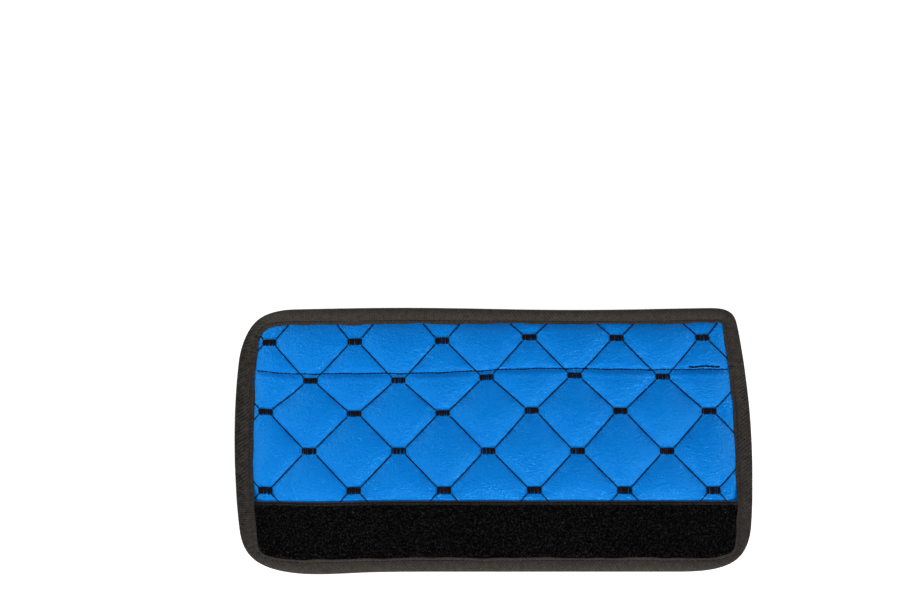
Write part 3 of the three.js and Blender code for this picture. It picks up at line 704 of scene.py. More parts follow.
# %% Make the loop strip
SELVAGE = 2.2
selvage_y = LOOP_EDGE - np.array([SELVAGE, 1.7, 1.0, 0.4, 0])
strip_y = np.concatenate([np.linspace(-75, LOOP_EDGE - 2.6, 36), selvage_y])
strip_x = np.linspace(-HALF_LENGTH, HALF_LENGTH, 240)


def strip_top(plan):
    ripple = 0.08 * np.sin(plan[..., 0] / 17) + 0.05 * np.sin(plan[..., 0] / 6.3 + plan[..., 1] / 9)
    edge = ramp(plan[..., 1], LOOP_EDGE - 2.4, LOOP_EDGE - 1.9)
    return LOOP_LEVEL + 0.12 * (1 - edge) + ripple * ramp(inside(INNER_RIM, plan)[0], 0, 6)


loop_base = lattice_sheet("loop_strip_base", strip_x, strip_y, strip_top)
thicken(loop_base, 0.95)
smooth_faces(loop_base)
strip_points = points_of(loop_base) / MM
selvage_line = np.stack([strip_points[:, 0], np.full(len(strip_points), LOOP_EDGE - SELVAGE)], -1)
over_line = strip_points[:, 1] - lay(selvage_line, 0)[:, 1]
selvage_faces = faces_with(loop_base, over_line > -0.05)
print("loop strip", face_count(loop_base), "triangles,", int(selvage_faces.sum()), "faces in its selvage")

# %% Make the hook strip
HOOK_LEVEL = 1.75
hook_x, hook_y = np.linspace(-HALF_LENGTH, HALF_LENGTH, 120), np.linspace(HOOK_EDGE, 75, 20)
hook_base = lattice_sheet("hook_strip_base", hook_x, hook_y, lambda plan: np.full(len(plan), HOOK_LEVEL))
turn_over(hook_base)
thicken(hook_base, 0.45)
smooth_faces(hook_base)
print("hook strip", face_count(hook_base), "triangles")

# %% [markdown]
# ## One stitch, sewn many times
#
# Every seam is a row of short stitches that dip into the cloth at both ends. One stitch is modelled from a
# cylinder: cut into short lengths, then bent down and thinned towards its ends. A seam is made by copying
# it along a line, turned and stretched to each pair of needle holes.


# %% Model one stitch
def model_stitch(name, sides, dip, thin_ends):
    """A stitch one unit long and wide, that runs along X and dips into the cloth at both ends."""
    bpy.ops.object.select_all(action="DESELECT")
    bpy.ops.mesh.primitive_cylinder_add(vertices=sides, radius=0.5, depth=1, rotation=(0, math.pi / 2, 0))
    stitch = bpy.context.object
    stitch.name = stitch.data.name = name
    bpy.ops.object.transform_apply(location=False, rotation=True, scale=False)
    bpy.ops.object.mode_set(mode="EDIT")
    for place in (-0.42, -0.2, 0.2, 0.42):
        bpy.ops.mesh.select_all(action="SELECT")
        bpy.ops.mesh.bisect(plane_co=(place, 0, 0), plane_no=(1, 0, 0))
    bpy.ops.object.mode_set(mode="OBJECT")
    places = points_of(stitch)
    reach = np.abs(places[:, 0]) / 0.5
    thin = 1 - thin_ends * reach**4
    places[:, 1] *= thin
    places[:, 2] = places[:, 2] * thin - dip * reach**2.5
    stitch.data.vertices.foreach_set("co", places.ravel())
    stitch.data.update()
    return stitch


UP, DOWN = np.array([0.0, 0.0, 1.0]), np.array([0.0, 0.0, -1.0])


def sew_copies(name, pattern, starts, ends, widths, heights, up=UP):
    """One piece made of copies of a pattern, each from its start to its end, in millimetres."""
    widths, heights = np.broadcast_to(widths, len(starts)), np.broadcast_to(heights, len(starts))
    along = ends - starts
    across = np.cross(np.broadcast_to(up, along.shape), along)
    across /= np.linalg.norm(across, axis=1)[:, None]
    over = np.cross(along, across)
    over /= np.linalg.norm(over, axis=1)[:, None]
    own = points_of(pattern)
    places = (
        (starts + ends)[:, None] / 2
        + own[None, :, 0, None] * along[:, None]
        + own[None, :, 1, None] * (across * widths[:, None])[:, None]
        + own[None, :, 2, None] * (over * heights[:, None])[:, None]
    )
    pattern_faces = [tuple(face.vertices) for face in pattern.data.polygons]
    firsts = range(0, len(starts) * len(own), len(own))
    faces = [tuple(first + corner for corner in face) for first in firsts for face in pattern_faces]
    mesh = bpy.data.meshes.new(name)
    mesh.from_pydata((places * MM).reshape(-1, 3), [], faces)
    piece = bpy.data.objects.new(name, mesh)
    bpy.context.scene.collection.objects.link(piece)
    smooth_faces(piece, 60)
    return piece


def holes_along(places, pitch):
    """Pairs of needle holes about one pitch apart along a line of places."""
    run = np.concatenate([[0], np.cumsum(np.linalg.norm(np.diff(places, axis=0), axis=1))])
    count = max(1, round(run[-1] / pitch))
    cuts = np.linspace(0, run[-1], count + 1)
    holes = np.stack([np.interp(cuts, run, places[:, axis]) for axis in range(3)], -1)
    return holes[:-1], holes[1:]


def resized(starts, ends, share):
    """Stitches drawn in or out about their middles, to that share of their length."""
    middle = (starts + ends) / 2
    return middle + (starts - middle) * share, middle + (ends - middle) * share


thread_stitch = model_stitch("one_stitch", 7, 0.3, 0.3)
print("one stitch", face_count(thread_stitch), "triangles")


# %% A bent fibre for loops and hooks, and places for loops
def model_arch(name, turn_share, thickness):
    """A bent fibre one unit across, that stands on its ends: part of a torus, cut off below."""
    bpy.ops.object.select_all(action="DESELECT")
    shape = {"major_segments": 10, "minor_segments": 3, "major_radius": 0.5, "minor_radius": thickness}
    bpy.ops.mesh.primitive_torus_add(**shape, rotation=(math.pi / 2, 0, 0))
    arch = bpy.context.object
    arch.name = arch.data.name = name
    bpy.ops.object.transform_apply(location=False, rotation=True, scale=False)
    bpy.ops.object.mode_set(mode="EDIT")
    bpy.ops.mesh.select_all(action="SELECT")
    low = 0.5 * math.cos(math.pi * turn_share)
    bpy.ops.mesh.bisect(plane_co=(0, 0, low), plane_no=(0, 0, 1), use_fill=True, clear_inner=True)
    point_outwards()
    return arch


def scattered(low, high, spacing, seed):
    """Steady, uneven places over a field of the plan, one for each square of that spacing."""
    xs, ys = np.arange(low[0], high[0], spacing[0]), np.arange(low[1], high[1], spacing[1])
    column, row = np.meshgrid(np.arange(len(xs)), np.arange(len(ys)))
    x = xs[column] + spacing[0] * 0.8 * (own_number(column, row, seed) - 0.5)
    y = ys[row] + spacing[1] * 0.8 * (own_number(column, row, seed + 1) - 0.5)
    plan = np.stack([x, y], -1).reshape(-1, 2)
    return plan[inside(INNER_RIM, plan)[0] > 0.4]


# %% Cover the loop strip with loops
one_loop = model_arch("one_loop", 0.5, 0.15)
loop_plan = scattered((-136, -67.5), (136, LOOP_EDGE - 2.4), (1.3, 1.12), 11)
loop_turn = 2 * math.pi * own_number(loop_plan[:, 0], loop_plan[:, 1], 13)
loop_wide = 0.55 + 0.3 * own_number(loop_plan[:, 0], loop_plan[:, 1], 14)
loop_step = np.stack([np.cos(loop_turn), np.sin(loop_turn), 0 * loop_turn], -1) * loop_wide[:, None]
loop_foot = lay(loop_plan, LOOP_LEVEL + 0.05)
loop_lean = np.stack([np.sin(3 * loop_turn) * 0.5, np.cos(2 * loop_turn) * 0.5, 0 * loop_turn + 1], -1)
loop_tall = 1.3 + 0.7 * own_number(loop_plan[:, 0], loop_plan[:, 1], 15)
loop_ends = loop_foot - loop_step, loop_foot + loop_step
loop_field = sew_copies("loop_pile", one_loop, *loop_ends, 1.1, loop_tall, loop_lean)
print("pile", len(loop_plan), "loops,", face_count(loop_field), "triangles")

# %% Cover the hook strip with rows of hooks
one_hook = model_arch("one_hook", 0.72, 0.16)
hook_grid = np.meshgrid(np.arange(-136, 136, 2.0), np.arange(HOOK_EDGE + 1.6, 66, 1.9))
hook_plan = np.stack(hook_grid, -1).reshape(-1, 2)
hook_plan = hook_plan[inside(INNER_RIM, hook_plan)[0] > 1]
hook_foot = lay(hook_plan, HOOK_LEVEL - 0.25)
hook_step = np.array([0.34, 0.0, 0.0])
hook_ends = hook_foot - hook_step, hook_foot + hook_step
hook_field = sew_copies("small_hooks", one_hook, *hook_ends, 1.2, 0.62, DOWN)
print("hook tape", len(hook_plan), "hooks,", face_count(hook_field), "triangles")


# %% Sew the diamonds
def quilting_runs(columns=7, rows=5):
    """Both ends of every straight run of the quilting, from bar tack to bar tack, on the plan."""
    runs = []
    for column in range(-columns, columns):
        for row in range(-rows, rows):
            x, y = QUILT_X + column * COLUMN_PITCH, QUILT_Y + row * ROW_PITCH
            left, right = x + TACK_LENGTH / 2, x + COLUMN_PITCH - TACK_LENGTH / 2
            low, high = y + TACK_WIDTH / 2, y + ROW_PITCH - TACK_WIDTH / 2
            rising = (column + row) % 2 == 0
            runs.append(((left, low), (right, high)) if rising else ((right, low), (left, high)))
    return np.array(runs)


def face_height(plan):
    return COVER_LEVEL + face_lift(plan[..., 1]) + sampled(rise, plan)


def cut_in_stitches(line, pitch):
    """Needle holes about one pitch apart on a straight line of the plan."""
    count = max(1, round(float(np.hypot(*(line[1] - line[0]))) / pitch))
    return line[0] + (line[1] - line[0]) * np.linspace(0, 1, count + 1)[:, None]


def stitches_on_face(lines, pitch, clearance):
    """Both ends of each stitch along the lines, cut off a little under the tape and the loop strip."""
    starts, ends = [], []
    for line in lines:
        holes = cut_in_stitches(line, pitch)
        depths = np.minimum(inside(INNER_RIM, holes)[0], holes[:, 1] - LOOP_EDGE) + 0.25
        for first, last, depth, next_depth in zip(holes[:-1], holes[1:], depths[:-1], depths[1:]):
            if max(depth, next_depth) <= 0:
                continue
            if depth < 0:
                first = first + (last - first) * depth / (depth - next_depth)
            if next_depth < 0:
                last = last + (first - last) * next_depth / (next_depth - depth)
            pair = np.array([first, last])
            places = lay(pair, face_height(pair) + clearance)
            starts.append(places[0])
            ends.append(places[1])
    return np.array(starts), np.array(ends)


quilt_holes = resized(*stitches_on_face(quilting_runs(), 2.5, 0.2), 1.02)
quilt_stitches = sew_copies("quilting_stitches", thread_stitch, *quilt_holes, 0.78, 0.5)
print("quilting", len(quilt_holes[0]), "stitches,", face_count(quilt_stitches), "triangles")


# %% Sew the bar tacks
def tack_grid(columns=6, rows=4):
    """Place, column and row of each bar tack of the quilting."""
    cells = [(column, row) for column in range(-columns, columns + 1) for row in range(-rows, rows + 1)]
    cells = np.array([cell for cell in cells if sum(cell) % 2 == 0])
    return np.concatenate([[QUILT_X, QUILT_Y] + cells * [COLUMN_PITCH, ROW_PITCH], cells], 1)


def tack_stitch(first, last, clearances, width, height):
    """One stitch of a tack, with the clearances of its two ends over the face."""
    ends = np.array([first, last])
    return (*lay(ends, face_height(ends) + clearances), width, height)


TURNS = 8
SIDE = 3.6  # how far the first and the last stitch lie from the middle of the tack
face_tacks = tack_grid()
face_tacks = face_tacks[(inside(INNER_RIM, face_tacks[:, :2])[0] > -1.0) & (face_tacks[:, 1] > HEM + 2)]
tack_stitches = []
for x, y, tack_column, tack_row in face_tacks:
    squeeze = 0.82 if y > HEM + 20 else 0.95
    for turn in range(TURNS):
        chance = own_number(tack_column * 9 + turn, tack_row, 5)
        other = own_number(tack_column * 7 + turn, tack_row, 6)
        place_x = x - SIDE + 2 * SIDE * turn / (TURNS - 1) + 0.25 * (chance - 0.5)
        low_end = place_x + 0.3 * (other - 0.5), y - (2.15 + 0.5 * (chance - 0.4)) * squeeze
        high_end = place_x, y + (2.0 + 0.25 * other) * squeeze
        thickness = 0.92 + 0.12 * other, 1.0 + 0.35 * chance
        tack_stitches.append(tack_stitch(low_end, high_end, 0.25, *thickness))
    for left, right in ((-3.9, 0.3), (-0.4, 3.9)):
        across = (x + left, y + 1.85 * squeeze), (x + right, y + 1.95 * squeeze)
        tack_stitches.append(tack_stitch(*across, [0.4, 0.45], 0.6, 0.6))
bar_tacks = sew_copies("bar_tacks", thread_stitch, *map(np.array, zip(*tack_stitches)))
print("bar tacks", len(face_tacks), "with", face_count(bar_tacks), "triangles")

# %% Sew the seam over the hook strip
seam_x = np.linspace(-140, 140, 561)
seam_wave = 0.22 * np.sin(seam_x / 3.7) + 0.16 * np.sin(seam_x / 1.9 + 1)
seam_plan = np.stack([seam_x, SEAM_LINE + seam_wave], -1)
seam_plan = seam_plan[inside(INNER_RIM, seam_plan)[0] > 0.3]
seam_holes = holes_along(lay(seam_plan, face_height(seam_plan) + 0.02), 2.2)
seam_stitches = sew_copies("hook_strip_stitches", thread_stitch, *seam_holes, 0.95, 0.5)
seam_end = seam_plan[-1, 0]
back_x = np.linspace(seam_end - 22.5, seam_end - 4.5, 60)
back_plan = np.stack([back_x, SEAM_LINE + 1.5 + 0.35 * np.sin(back_x / 2.1)], -1)
back_holes = holes_along(lay(back_plan, face_height(back_plan) + 0.35), 3.1)
back_tack = sew_copies("back_tack_stitches", thread_stitch, *resized(*back_holes, 1.02), 1.0, 0.8)
print("seam", len(seam_holes[0]), "stitches and", len(back_holes[0]), "in its back tack")

# %% Sew the loop strip and the tape
loop_line = np.stack([np.linspace(-136, 136, 300), np.full(300, LOOP_EDGE - 1.0)], -1)
loop_line = loop_line[inside(INNER_RIM, loop_line)[0] > 0.3]
loop_holes = resized(*holes_along(lay(loop_line, LOOP_LEVEL + 0.12), 2.6), 0.9)
loop_stitches = sew_copies("loop_strip_stitches", thread_stitch, *loop_holes, 0.55, 0.4)


def ring_holes(height):
    """The holes of the tape's stitch line, on the face or on the back."""
    line = lay(rim(tape_stations, 0.8), height)
    return resized(*holes_along(np.concatenate([line, line[:1]]), 2.8), 0.9)


top_holes, under_holes = ring_holes(tape_height + lap - 0.42), ring_holes(0.24)
tape_stitches = sew_copies("binding_stitches", thread_stitch, *top_holes, 0.5, 0.4)
under_stitches = sew_copies("binding_stitches_back", thread_stitch, *under_holes, 0.5, 0.35, DOWN)
print("loop strip", len(loop_holes[0]), "stitches, tape", len(top_holes[0]), "on each side")


# %% Sew the back of the quilting
def stitches_on_back(lines, pitch):
    """Both ends, on the plan, of each stitch that lies clear of the tape and of the hook strip."""
    pairs = []
    for line in lines:
        holes = cut_in_stitches(line, pitch)
        clear = (inside(INNER_RIM, holes)[0] > 0.4) & (holes[:, 1] < LIFT_START)
        whole = clear[:-1] & clear[1:]
        pairs.extend(zip(holes[:-1][whole], holes[1:][whole]))
    return np.array(pairs)


quilt_pairs = stitches_on_back(quilting_runs(), 2.5)
tack_pairs = np.array([
    [[x - SIDE + 1.03 * turn, y - 2], [x - SIDE + 1.03 * turn, y + 2]]
    for x, y in tack_grid()[:, :2]
    for turn in range(TURNS)
])
tack_clear = inside(INNER_RIM, tack_pairs.mean(1))[0] > 2
tack_pairs = tack_pairs[tack_clear & (tack_pairs[:, :, 1].max(1) < LIFT_START)]
back_places = lay(np.concatenate([quilt_pairs, tack_pairs]), LINING_LEVEL - 0.12)
back_widths = np.repeat([0.55, 0.95], [len(quilt_pairs), len(tack_pairs)])
back_ends = back_places[:, 0], back_places[:, 1]
back_stitches = sew_copies("back_stitches", thread_stitch, *back_ends, back_widths, 0.5, DOWN)
print("back", len(back_places), "stitches,", face_count(back_stitches), "triangles")

# %% [markdown]
# ## Materials
#
# Each finish is made from noise and wave patterns in the piece's own coordinates, so it stays on the piece
# from every side. Grain and weave are node groups, and the values that are the same all over a surface are
# set on the shader itself.


# %% Helpers for materials
def new_finish(name, roughness, specular, sheen=0.0):
    """A material with a shader that has its plain values set, ready for its patterns."""
    finish = bpy.data.materials.new(name)
    finish.use_nodes = True
    shader = finish.node_tree.nodes["Principled BSDF"]
    shader.inputs["Roughness"].default_value = roughness
    shader.inputs["Specular IOR Level"].default_value = specular
    shader.inputs["Sheen Weight"].default_value = sheen
    shader.inputs["Sheen Roughness"].default_value = 0.4
    return finish, finish.node_tree, shader


def maths(tree, operation, first, second=None, clamp=False):
    """A Math node on one or two values, each a plain number or a socket."""
    node = tree.nodes.new("ShaderNodeMath")
    node.operation, node.use_clamp = operation, clamp
    for socket, value in zip(node.inputs, (first, second)):
        if isinstance(value, (int, float)):
            socket.default_value = value
        elif value is not None:
            tree.links.new(value, socket)
    return node.outputs[0]


def weighted_sum(tree, *parts):
    """The sum of sockets, each times its own weight."""
    total = None
    for socket, weight in parts:
        share = maths(tree, "MULTIPLY", socket, weight)
        total = maths(tree, "ADD", total, share) if total else share
    return total


def rises_from(tree, socket, start, slope):
    """0 up to that start, then a rise at that slope, up to 1."""
    return maths(tree, "MULTIPLY", maths(tree, "SUBTRACT", socket, start), slope, True)


def blend_colours(tree, share, first, second):
    """A mix of two plain colours, by a socket."""
    node = tree.nodes.new("ShaderNodeMix")
    node.data_type = "RGBA"
    tree.links.new(share, node.inputs["Factor"])
    node.inputs[6].default_value, node.inputs[7].default_value = (*first, 1), (*second, 1)
    return node.outputs[2]


def pattern_group(name, outputs):
    group = bpy.data.node_groups.new(name, "ShaderNodeTree")
    group.interface.new_socket("Place", in_out="INPUT", socket_type="NodeSocketVector")
    for output in outputs:
        group.interface.new_socket(output, in_out="OUTPUT", socket_type="NodeSocketFloat")
    return group, group.nodes.new("NodeGroupInput"), group.nodes.new("NodeGroupOutput")


def use_pattern(tree, group, place):
    node = tree.nodes.new("ShaderNodeGroup")
    node.node_tree = group
    tree.links.new(place, node.inputs["Place"])
    return node


def add_bump(tree, shader, height, distance, strength=1.0):
    bump = tree.nodes.new("ShaderNodeBump")
    bump.inputs["Distance"].default_value = distance
    bump.inputs["Strength"].default_value = strength
    tree.links.new(height, bump.inputs["Height"])
    tree.links.new(bump.outputs["Normal"], shader.inputs["Normal"])


def object_place(tree):
    return tree.nodes.new("ShaderNodeTexCoord").outputs["Object"]


def texture(tree, kind, place, scale, **values):
    """A texture node read at that place, with other sockets set by their names."""
    node = tree.nodes.new(kind)
    tree.links.new(place, node.inputs["Vector"])
    node.inputs["Scale"].default_value = scale
    for name, value in values.items():
        node.inputs[name.capitalize()].default_value = value
    return node


# %% Grain of the leatherette
grain, grain_in, grain_out = pattern_group("leatherette_grain", ("Height", "Patches"))
place = grain_in.outputs["Place"]
pebbles = texture(grain, "ShaderNodeTexVoronoi", place, 950, randomness=1.0).outputs["Distance"]
fine = texture(grain, "ShaderNodeTexNoise", place, 1500, detail=2.0).outputs["Fac"]
wrinkles = texture(grain, "ShaderNodeTexNoise", place, 520, detail=3.0).outputs["Fac"]
patches = texture(grain, "ShaderNodeTexNoise", place, 38, detail=2.0).outputs["Fac"]
height = weighted_sum(grain, (pebbles, -0.7), (fine, 1.0), (wrinkles, 1.3))
grain.links.new(height, grain_out.inputs["Height"])
grain.links.new(patches, grain_out.inputs["Patches"])

leatherette, tree, shader = new_finish("blue_leatherette", 0.3, 0.55)
shader.inputs["Specular Tint"].default_value = (0.1, 0.7, 1.0, 1)
pattern = use_pattern(tree, grain, object_place(tree))
add_bump(tree, shader, pattern.outputs["Height"], 0.0005, 0.8)
colour = blend_colours(tree, pattern.outputs["Patches"], (0.0, 0.165, 0.62), (0.0, 0.188, 0.69))
tree.links.new(colour, shader.inputs["Base Color"])
shine = maths(tree, "ADD", maths(tree, "MULTIPLY", pattern.outputs["Height"], 0.08), 0.15)
tree.links.new(shine, shader.inputs["Roughness"])
print("leatherette", len(tree.nodes), "nodes and", len(grain.nodes), "in its grain")

# %% Weave of the tape
weave, weave_in, weave_out = pattern_group("tape_weave", ("Height", "Shade"))
place = weave_in.outputs["Place"]
across, slanting = (texture(weave, "ShaderNodeTexWave", place, scale) for scale in (0.32, 0.3))
across.bands_direction, slanting.bands_direction = "X", "DIAGONAL"
ribs, twill = across.outputs["Fac"], slanting.outputs["Fac"]
worn = texture(weave, "ShaderNodeTexNoise", place, 0.35, detail=4.0).outputs["Fac"]
specks = texture(weave, "ShaderNodeTexNoise", place, 1.1, detail=3.0).outputs["Fac"]
fibre = texture(weave, "ShaderNodeTexNoise", place, 2.2, detail=2.0).outputs["Fac"]
where = texture(weave, "ShaderNodeTexNoise", place, 0.028, detail=1.0).outputs["Fac"]
ribbed = rises_from(weave, where, 0.42, 6.0)
woven = weighted_sum(weave, (ribs, ribbed), (twill, maths(weave, "SUBTRACT", 1.0, ribbed)))
height = weighted_sum(weave, (woven, 1.0), (fibre, 0.35))
speckle = maths(weave, "SUBTRACT", specks, 0.5)
shade = weighted_sum(weave, (woven, 0.2), (worn, 0.58), (fibre, 0.22), (speckle, 0.75))
weave.links.new(height, weave_out.inputs["Height"])
weave.links.new(shade, weave_out.inputs["Shade"])
print("weave", len(weave.nodes), "nodes")

# %% Finish of the tape, with painted shade at the pad's ends and on its inner side beside the cover
ENDS_FROM, HEM_TOP = 0.127, -0.058  # metres along the pad and across it, from its middle
INNER_SIDE_FROM = 15.5  # millimetres round the tape's section
tape_cloth, tree, shader = new_finish("black_binding_tape", 0.85, 0.1)
tape_map = tree.nodes.new("ShaderNodeUVMap")
tape_map.uv_map = "UVMap"
pattern = use_pattern(tree, weave, tape_map.outputs["UV"])
add_bump(tree, shader, pattern.outputs["Height"], 0.00022, 0.6)
on_pad, on_tape = tree.nodes.new("ShaderNodeSeparateXYZ"), tree.nodes.new("ShaderNodeSeparateXYZ")
tree.links.new(object_place(tree), on_pad.inputs[0])
tree.links.new(tape_map.outputs["UV"], on_tape.inputs[0])
# Painted shade: the tape's colour is darkened towards both ends of the pad, more at the left end, and on its
# inner side beside the cover, but not along the lower side
at_ends = rises_from(tree, maths(tree, "ABSOLUTE", on_pad.outputs["X"]), ENDS_FROM, 60)
end_shade_depth = maths(tree, "SUBTRACT", 0.26, maths(tree, "MULTIPLY", on_pad.outputs["X"], 0.4))
inner_side = rises_from(tree, on_tape.outputs["Y"], INNER_SIDE_FROM, 0.17)
off_hem = rises_from(tree, on_pad.outputs["Y"], HEM_TOP, 90)
beside_cover = maths(tree, "MULTIPLY", inner_side, off_hem)
painted_shade = weighted_sum(tree, (at_ends, end_shade_depth), (beside_cover, 0.1))
# The painted shade is taken off the weave's own tone
shade = maths(tree, "SUBTRACT", pattern.outputs["Shade"], painted_shade, True)
colour = blend_colours(tree, shade, (0.004, 0.0035, 0.003), (0.082, 0.072, 0.062))
tree.links.new(colour, shader.inputs["Base Color"])
print("tape finish", len(tree.nodes), "nodes")


# %% Thread, pile, hook tape, lining and foam
def speckled(name, dark, light, scale, depth, roughness, specular, sheen=0.0, sparse=False):
    """A finish of fine light specks on a dark ground, sparse where few should show, with its own relief."""
    finish, tree, shader = new_finish(name, roughness, specular, sheen)
    noise = texture(tree, "ShaderNodeTexNoise", object_place(tree), scale, detail=3.0).outputs["Fac"]
    share = rises_from(tree, noise, 0.48, 3.4) if sparse else noise
    tree.links.new(blend_colours(tree, share, dark, light), shader.inputs["Base Color"])
    add_bump(tree, shader, noise, depth, 0.6)
    return finish


thread = speckled(
    "black_sewing_thread", (0.001, 0.0015, 0.006), (0.003, 0.004, 0.012), 2400, 0.0001, 0.7, 0.06
)
tack_thread = speckled(
    "brown_black_tack_thread", (0.0006, 0.0004, 0.0004), (0.011, 0.006, 0.005), 2000, 0.00012, 0.7, 0.07
)
tape_thread = speckled(
    "grey_tape_thread", (0.004, 0.004, 0.005), (0.03, 0.027, 0.026), 2400, 0.0001, 0.8, 0.1
)
pile = speckled(
    "black_loop_pile", (0.0014, 0.0014, 0.0014), (0.036, 0.035, 0.035), 1000, 0.0004, 1.0, 0.02, sparse=True
)
selvage_cloth = speckled(
    "grey_woven_selvage", (0.002, 0.002, 0.003), (0.052, 0.046, 0.044), 1300, 0.0002, 0.9, 0.05
)
hook_plastic = speckled(
    "black_hook_tape", (0.004, 0.004, 0.004), (0.012, 0.012, 0.013), 1800, 0.0001, 0.5, 0.35
)
lining_cloth = speckled(
    "black_lining_cloth", (0.008, 0.008, 0.009), (0.02, 0.02, 0.022), 1600, 0.00015, 0.9, 0.2, 0.2
)
foam_grey = speckled("grey_foam", (0.2, 0.2, 0.2), (0.34, 0.34, 0.34), 900, 0.0003, 0.95, 0.1)
dark_finishes = (thread, tack_thread, tape_thread, pile, selvage_cloth, hook_plastic, lining_cloth)
print("finishes:", ", ".join(finish.name for finish in (*dark_finishes, foam_grey)))

# %% Give the tape its own map, in millimetres along it and round its section
TAPE_ROUND, SECTION_ROUND = 821.0, 30.0
layer = binding.data.uv_layers.active
layer.name = "UVMap"
shares = np.empty(len(layer.data) * 2)
layer.data.foreach_get("uv", shares)
layer.data.foreach_set("uv", (shares.reshape(-1, 2) * [TAPE_ROUND, SECTION_ROUND]).ravel())
print("tape map", TAPE_ROUND, "by", SECTION_ROUND, "mm")

# %% Dress the pieces
dressed = [
    (cover, leatherette, "leatherette", ["outer_cover"]),
    (foam, foam_grey, "foam", ["foam_layer"]),
    (lining, lining_cloth, "lining_cloth", ["lining"]),
    (binding, tape_cloth, "binding_tape", ["edge_binding"]),
    (loop_base, pile, "loop_tape", ["loop_strip"]),
    (hook_base, hook_plastic, "hook_tape", ["hook_strip"]),
    (quilt_stitches, thread, "thread", ["needle_thread"]),
    (bar_tacks, tack_thread, "thread", ["needle_thread"]),
    (seam_stitches, thread, "thread", ["hook_strip_seam"]),
    (back_tack, thread, "thread", ["hook_strip_seam"]),
    (loop_stitches, thread, "thread", ["loop_strip_seam"]),
    (loop_field, pile, "loop_tape", ["loop_strip"]),
    (hook_field, hook_plastic, "hook_tape", ["hook_strip"]),
    (tape_stitches, tape_thread, "thread", ["binding_stitch"]),
    (under_stitches, tape_thread, "thread", ["binding_stitch"]),
    (back_stitches, thread, "thread", ["bobbin_thread"]),
]
for piece, finish, slot, nodes in dressed:
    piece.data.materials.clear()
    piece.data.materials.append(finish)
    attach(piece, "root")
    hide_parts(*nodes)
loop_base.data.materials.append(selvage_cloth)
loop_base.data.polygons.foreach_set("material_index", selvage_faces.astype("int32"))
for pattern_piece in (thread_stitch, one_loop, one_hook):
    bpy.data.objects.remove(pattern_piece)
print("dressed", len(dressed), "pieces,", sum(face_count(piece) for piece, *_ in dressed), "triangles")


# %% [markdown]
# ## Stage, light and camera
#
# The photograph looks almost straight down on the pad on white. The floor is white to the camera and still
# takes the pad's shadow. Soft lamps stand low on the left, the right and the near side.

# %% Rays that find white behind the pad
def background_rays(tree):
    """1 for what is seen, straight, in a gloss or through clear things, and 0 for light on the pad."""
    rays = tree.nodes.new("ShaderNodeLightPath")
    seen = maths(tree, "MAXIMUM", rays.outputs["Is Camera Ray"], rays.outputs["Is Glossy Ray"])
    return maths(tree, "MAXIMUM", seen, rays.outputs["Is Transmission Ray"])


def choose_shader(tree, share, first, second, output_kind):
    """Show the second shader as far as the share says, and the first one otherwise."""
    choose, output = tree.nodes.new("ShaderNodeMixShader"), tree.nodes.new(output_kind)
    tree.links.new(share, choose.inputs["Fac"])
    tree.links.new(first.outputs[0], choose.inputs[1])
    tree.links.new(second.outputs[0], choose.inputs[2])
    tree.links.new(choose.outputs[0], output.inputs["Surface"])


# %% Floor
bpy.ops.object.select_all(action="DESELECT")
bpy.ops.mesh.primitive_plane_add(size=6, location=(0, 0, -0.0004))
floor = bpy.context.object
floor.name = "studio_floor"
floor_finish = bpy.data.materials.new("white_floor")
floor_finish.use_nodes = True
tree = floor_finish.node_tree
tree.nodes.clear()
matt, glow = tree.nodes.new("ShaderNodeBsdfDiffuse"), tree.nodes.new("ShaderNodeEmission")
matt.inputs["Color"].default_value = (0.8, 0.8, 0.8, 1)
glow.inputs["Strength"].default_value = 0.66
both = tree.nodes.new("ShaderNodeAddShader")
tree.links.new(matt.outputs[0], both.inputs[0])
tree.links.new(glow.outputs[0], both.inputs[1])
choose_shader(tree, background_rays(tree), matt, both, "ShaderNodeOutputMaterial")
floor.data.materials.append(floor_finish)
print("floor", [round(side, 2) for side in floor.dimensions], "m")

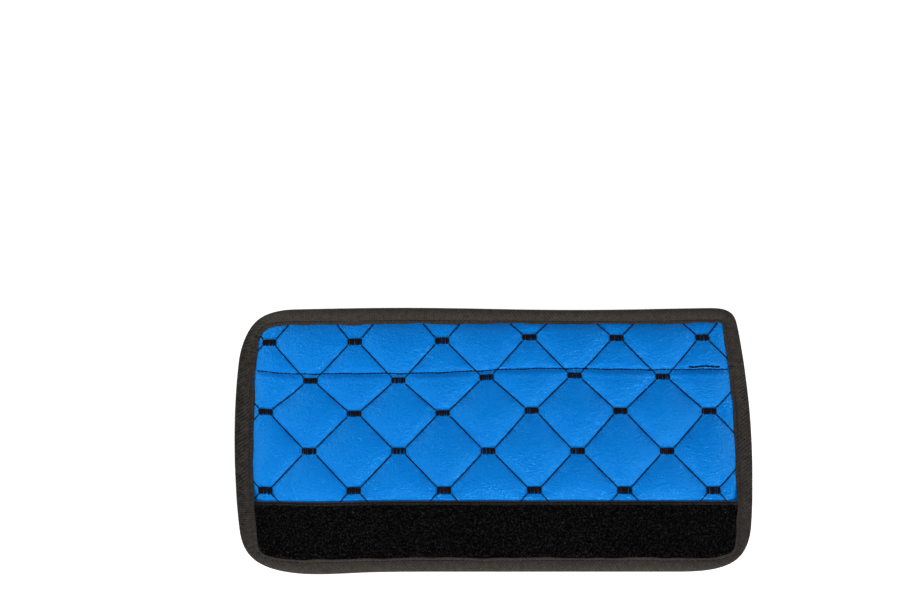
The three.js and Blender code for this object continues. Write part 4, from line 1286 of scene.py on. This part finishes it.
# %% Soft light from the whole room, and white behind the floor's edge
world = bpy.data.worlds.new("pale_studio")
bpy.context.scene.world = world
world.use_nodes = True
tree = world.node_tree
tree.nodes.clear()
soft, white = tree.nodes.new("ShaderNodeBackground"), tree.nodes.new("ShaderNodeBackground")
soft.inputs["Color"].default_value = white.inputs["Color"].default_value = (1, 1, 1, 1)
soft.inputs["Strength"].default_value = 0.22
direction = tree.nodes.new("ShaderNodeTexCoord")
height = tree.nodes.new("ShaderNodeSeparateXYZ")
tree.links.new(direction.outputs["Generated"], height.inputs[0])
overhead = tree.nodes.new("ShaderNodeMapRange")
overhead.inputs["From Min"].default_value, overhead.inputs["From Max"].default_value = 0.25, 0.6
overhead.inputs["To Min"].default_value, overhead.inputs["To Max"].default_value = 1.0, 0.0
tree.links.new(height.outputs["Z"], overhead.inputs["Value"])
near_level = maths(tree, "MULTIPLY", background_rays(tree), overhead.outputs["Result"])
choose_shader(tree, near_level, soft, white, "ShaderNodeOutputWorld")
print("world strength", round(soft.inputs["Strength"].default_value, 2))

# %% Lamps
LAMPS = {  # place and size in metres, power in watts
    "left_lamp": ((-0.62, 0.14, 0.42), 0.4, 3.2),
    "right_lamp": ((0.95, 0.05, 0.5), 0.5, 4.4),
    "near_lamp": ((0.22, -0.95, 0.52), 0.2, 9.4),
}
for name, (place, size, power) in LAMPS.items():
    lamp_data = bpy.data.lights.new(name, "AREA")
    lamp_data.shape, lamp_data.size, lamp_data.energy = "DISK", size, power
    lamp = bpy.data.objects.new(name, lamp_data)
    bpy.context.scene.collection.objects.link(lamp)
    lamp.location = place
    lamp.rotation_euler = (-Vector(place)).to_track_quat("-Z", "Y").to_euler()
print("lamps:", ", ".join(LAMPS))

# %% Camera
lens = bpy.data.cameras.new("photograph_camera")
lens.lens, lens.sensor_width = 50, 36
lens.clip_start, lens.clip_end = 0.01, 20
camera = bpy.data.objects.new("photograph_camera", lens)
bpy.context.scene.collection.objects.link(camera)
camera.location = (-0.0187, 0.0121, 0.7276)
camera.rotation_euler = (math.radians(5), 0, 0)
bpy.context.scene.camera = camera
bpy.context.scene.view_settings.view_transform = "Standard"
print("camera", round(camera.location.z, 3), "m over the floor")
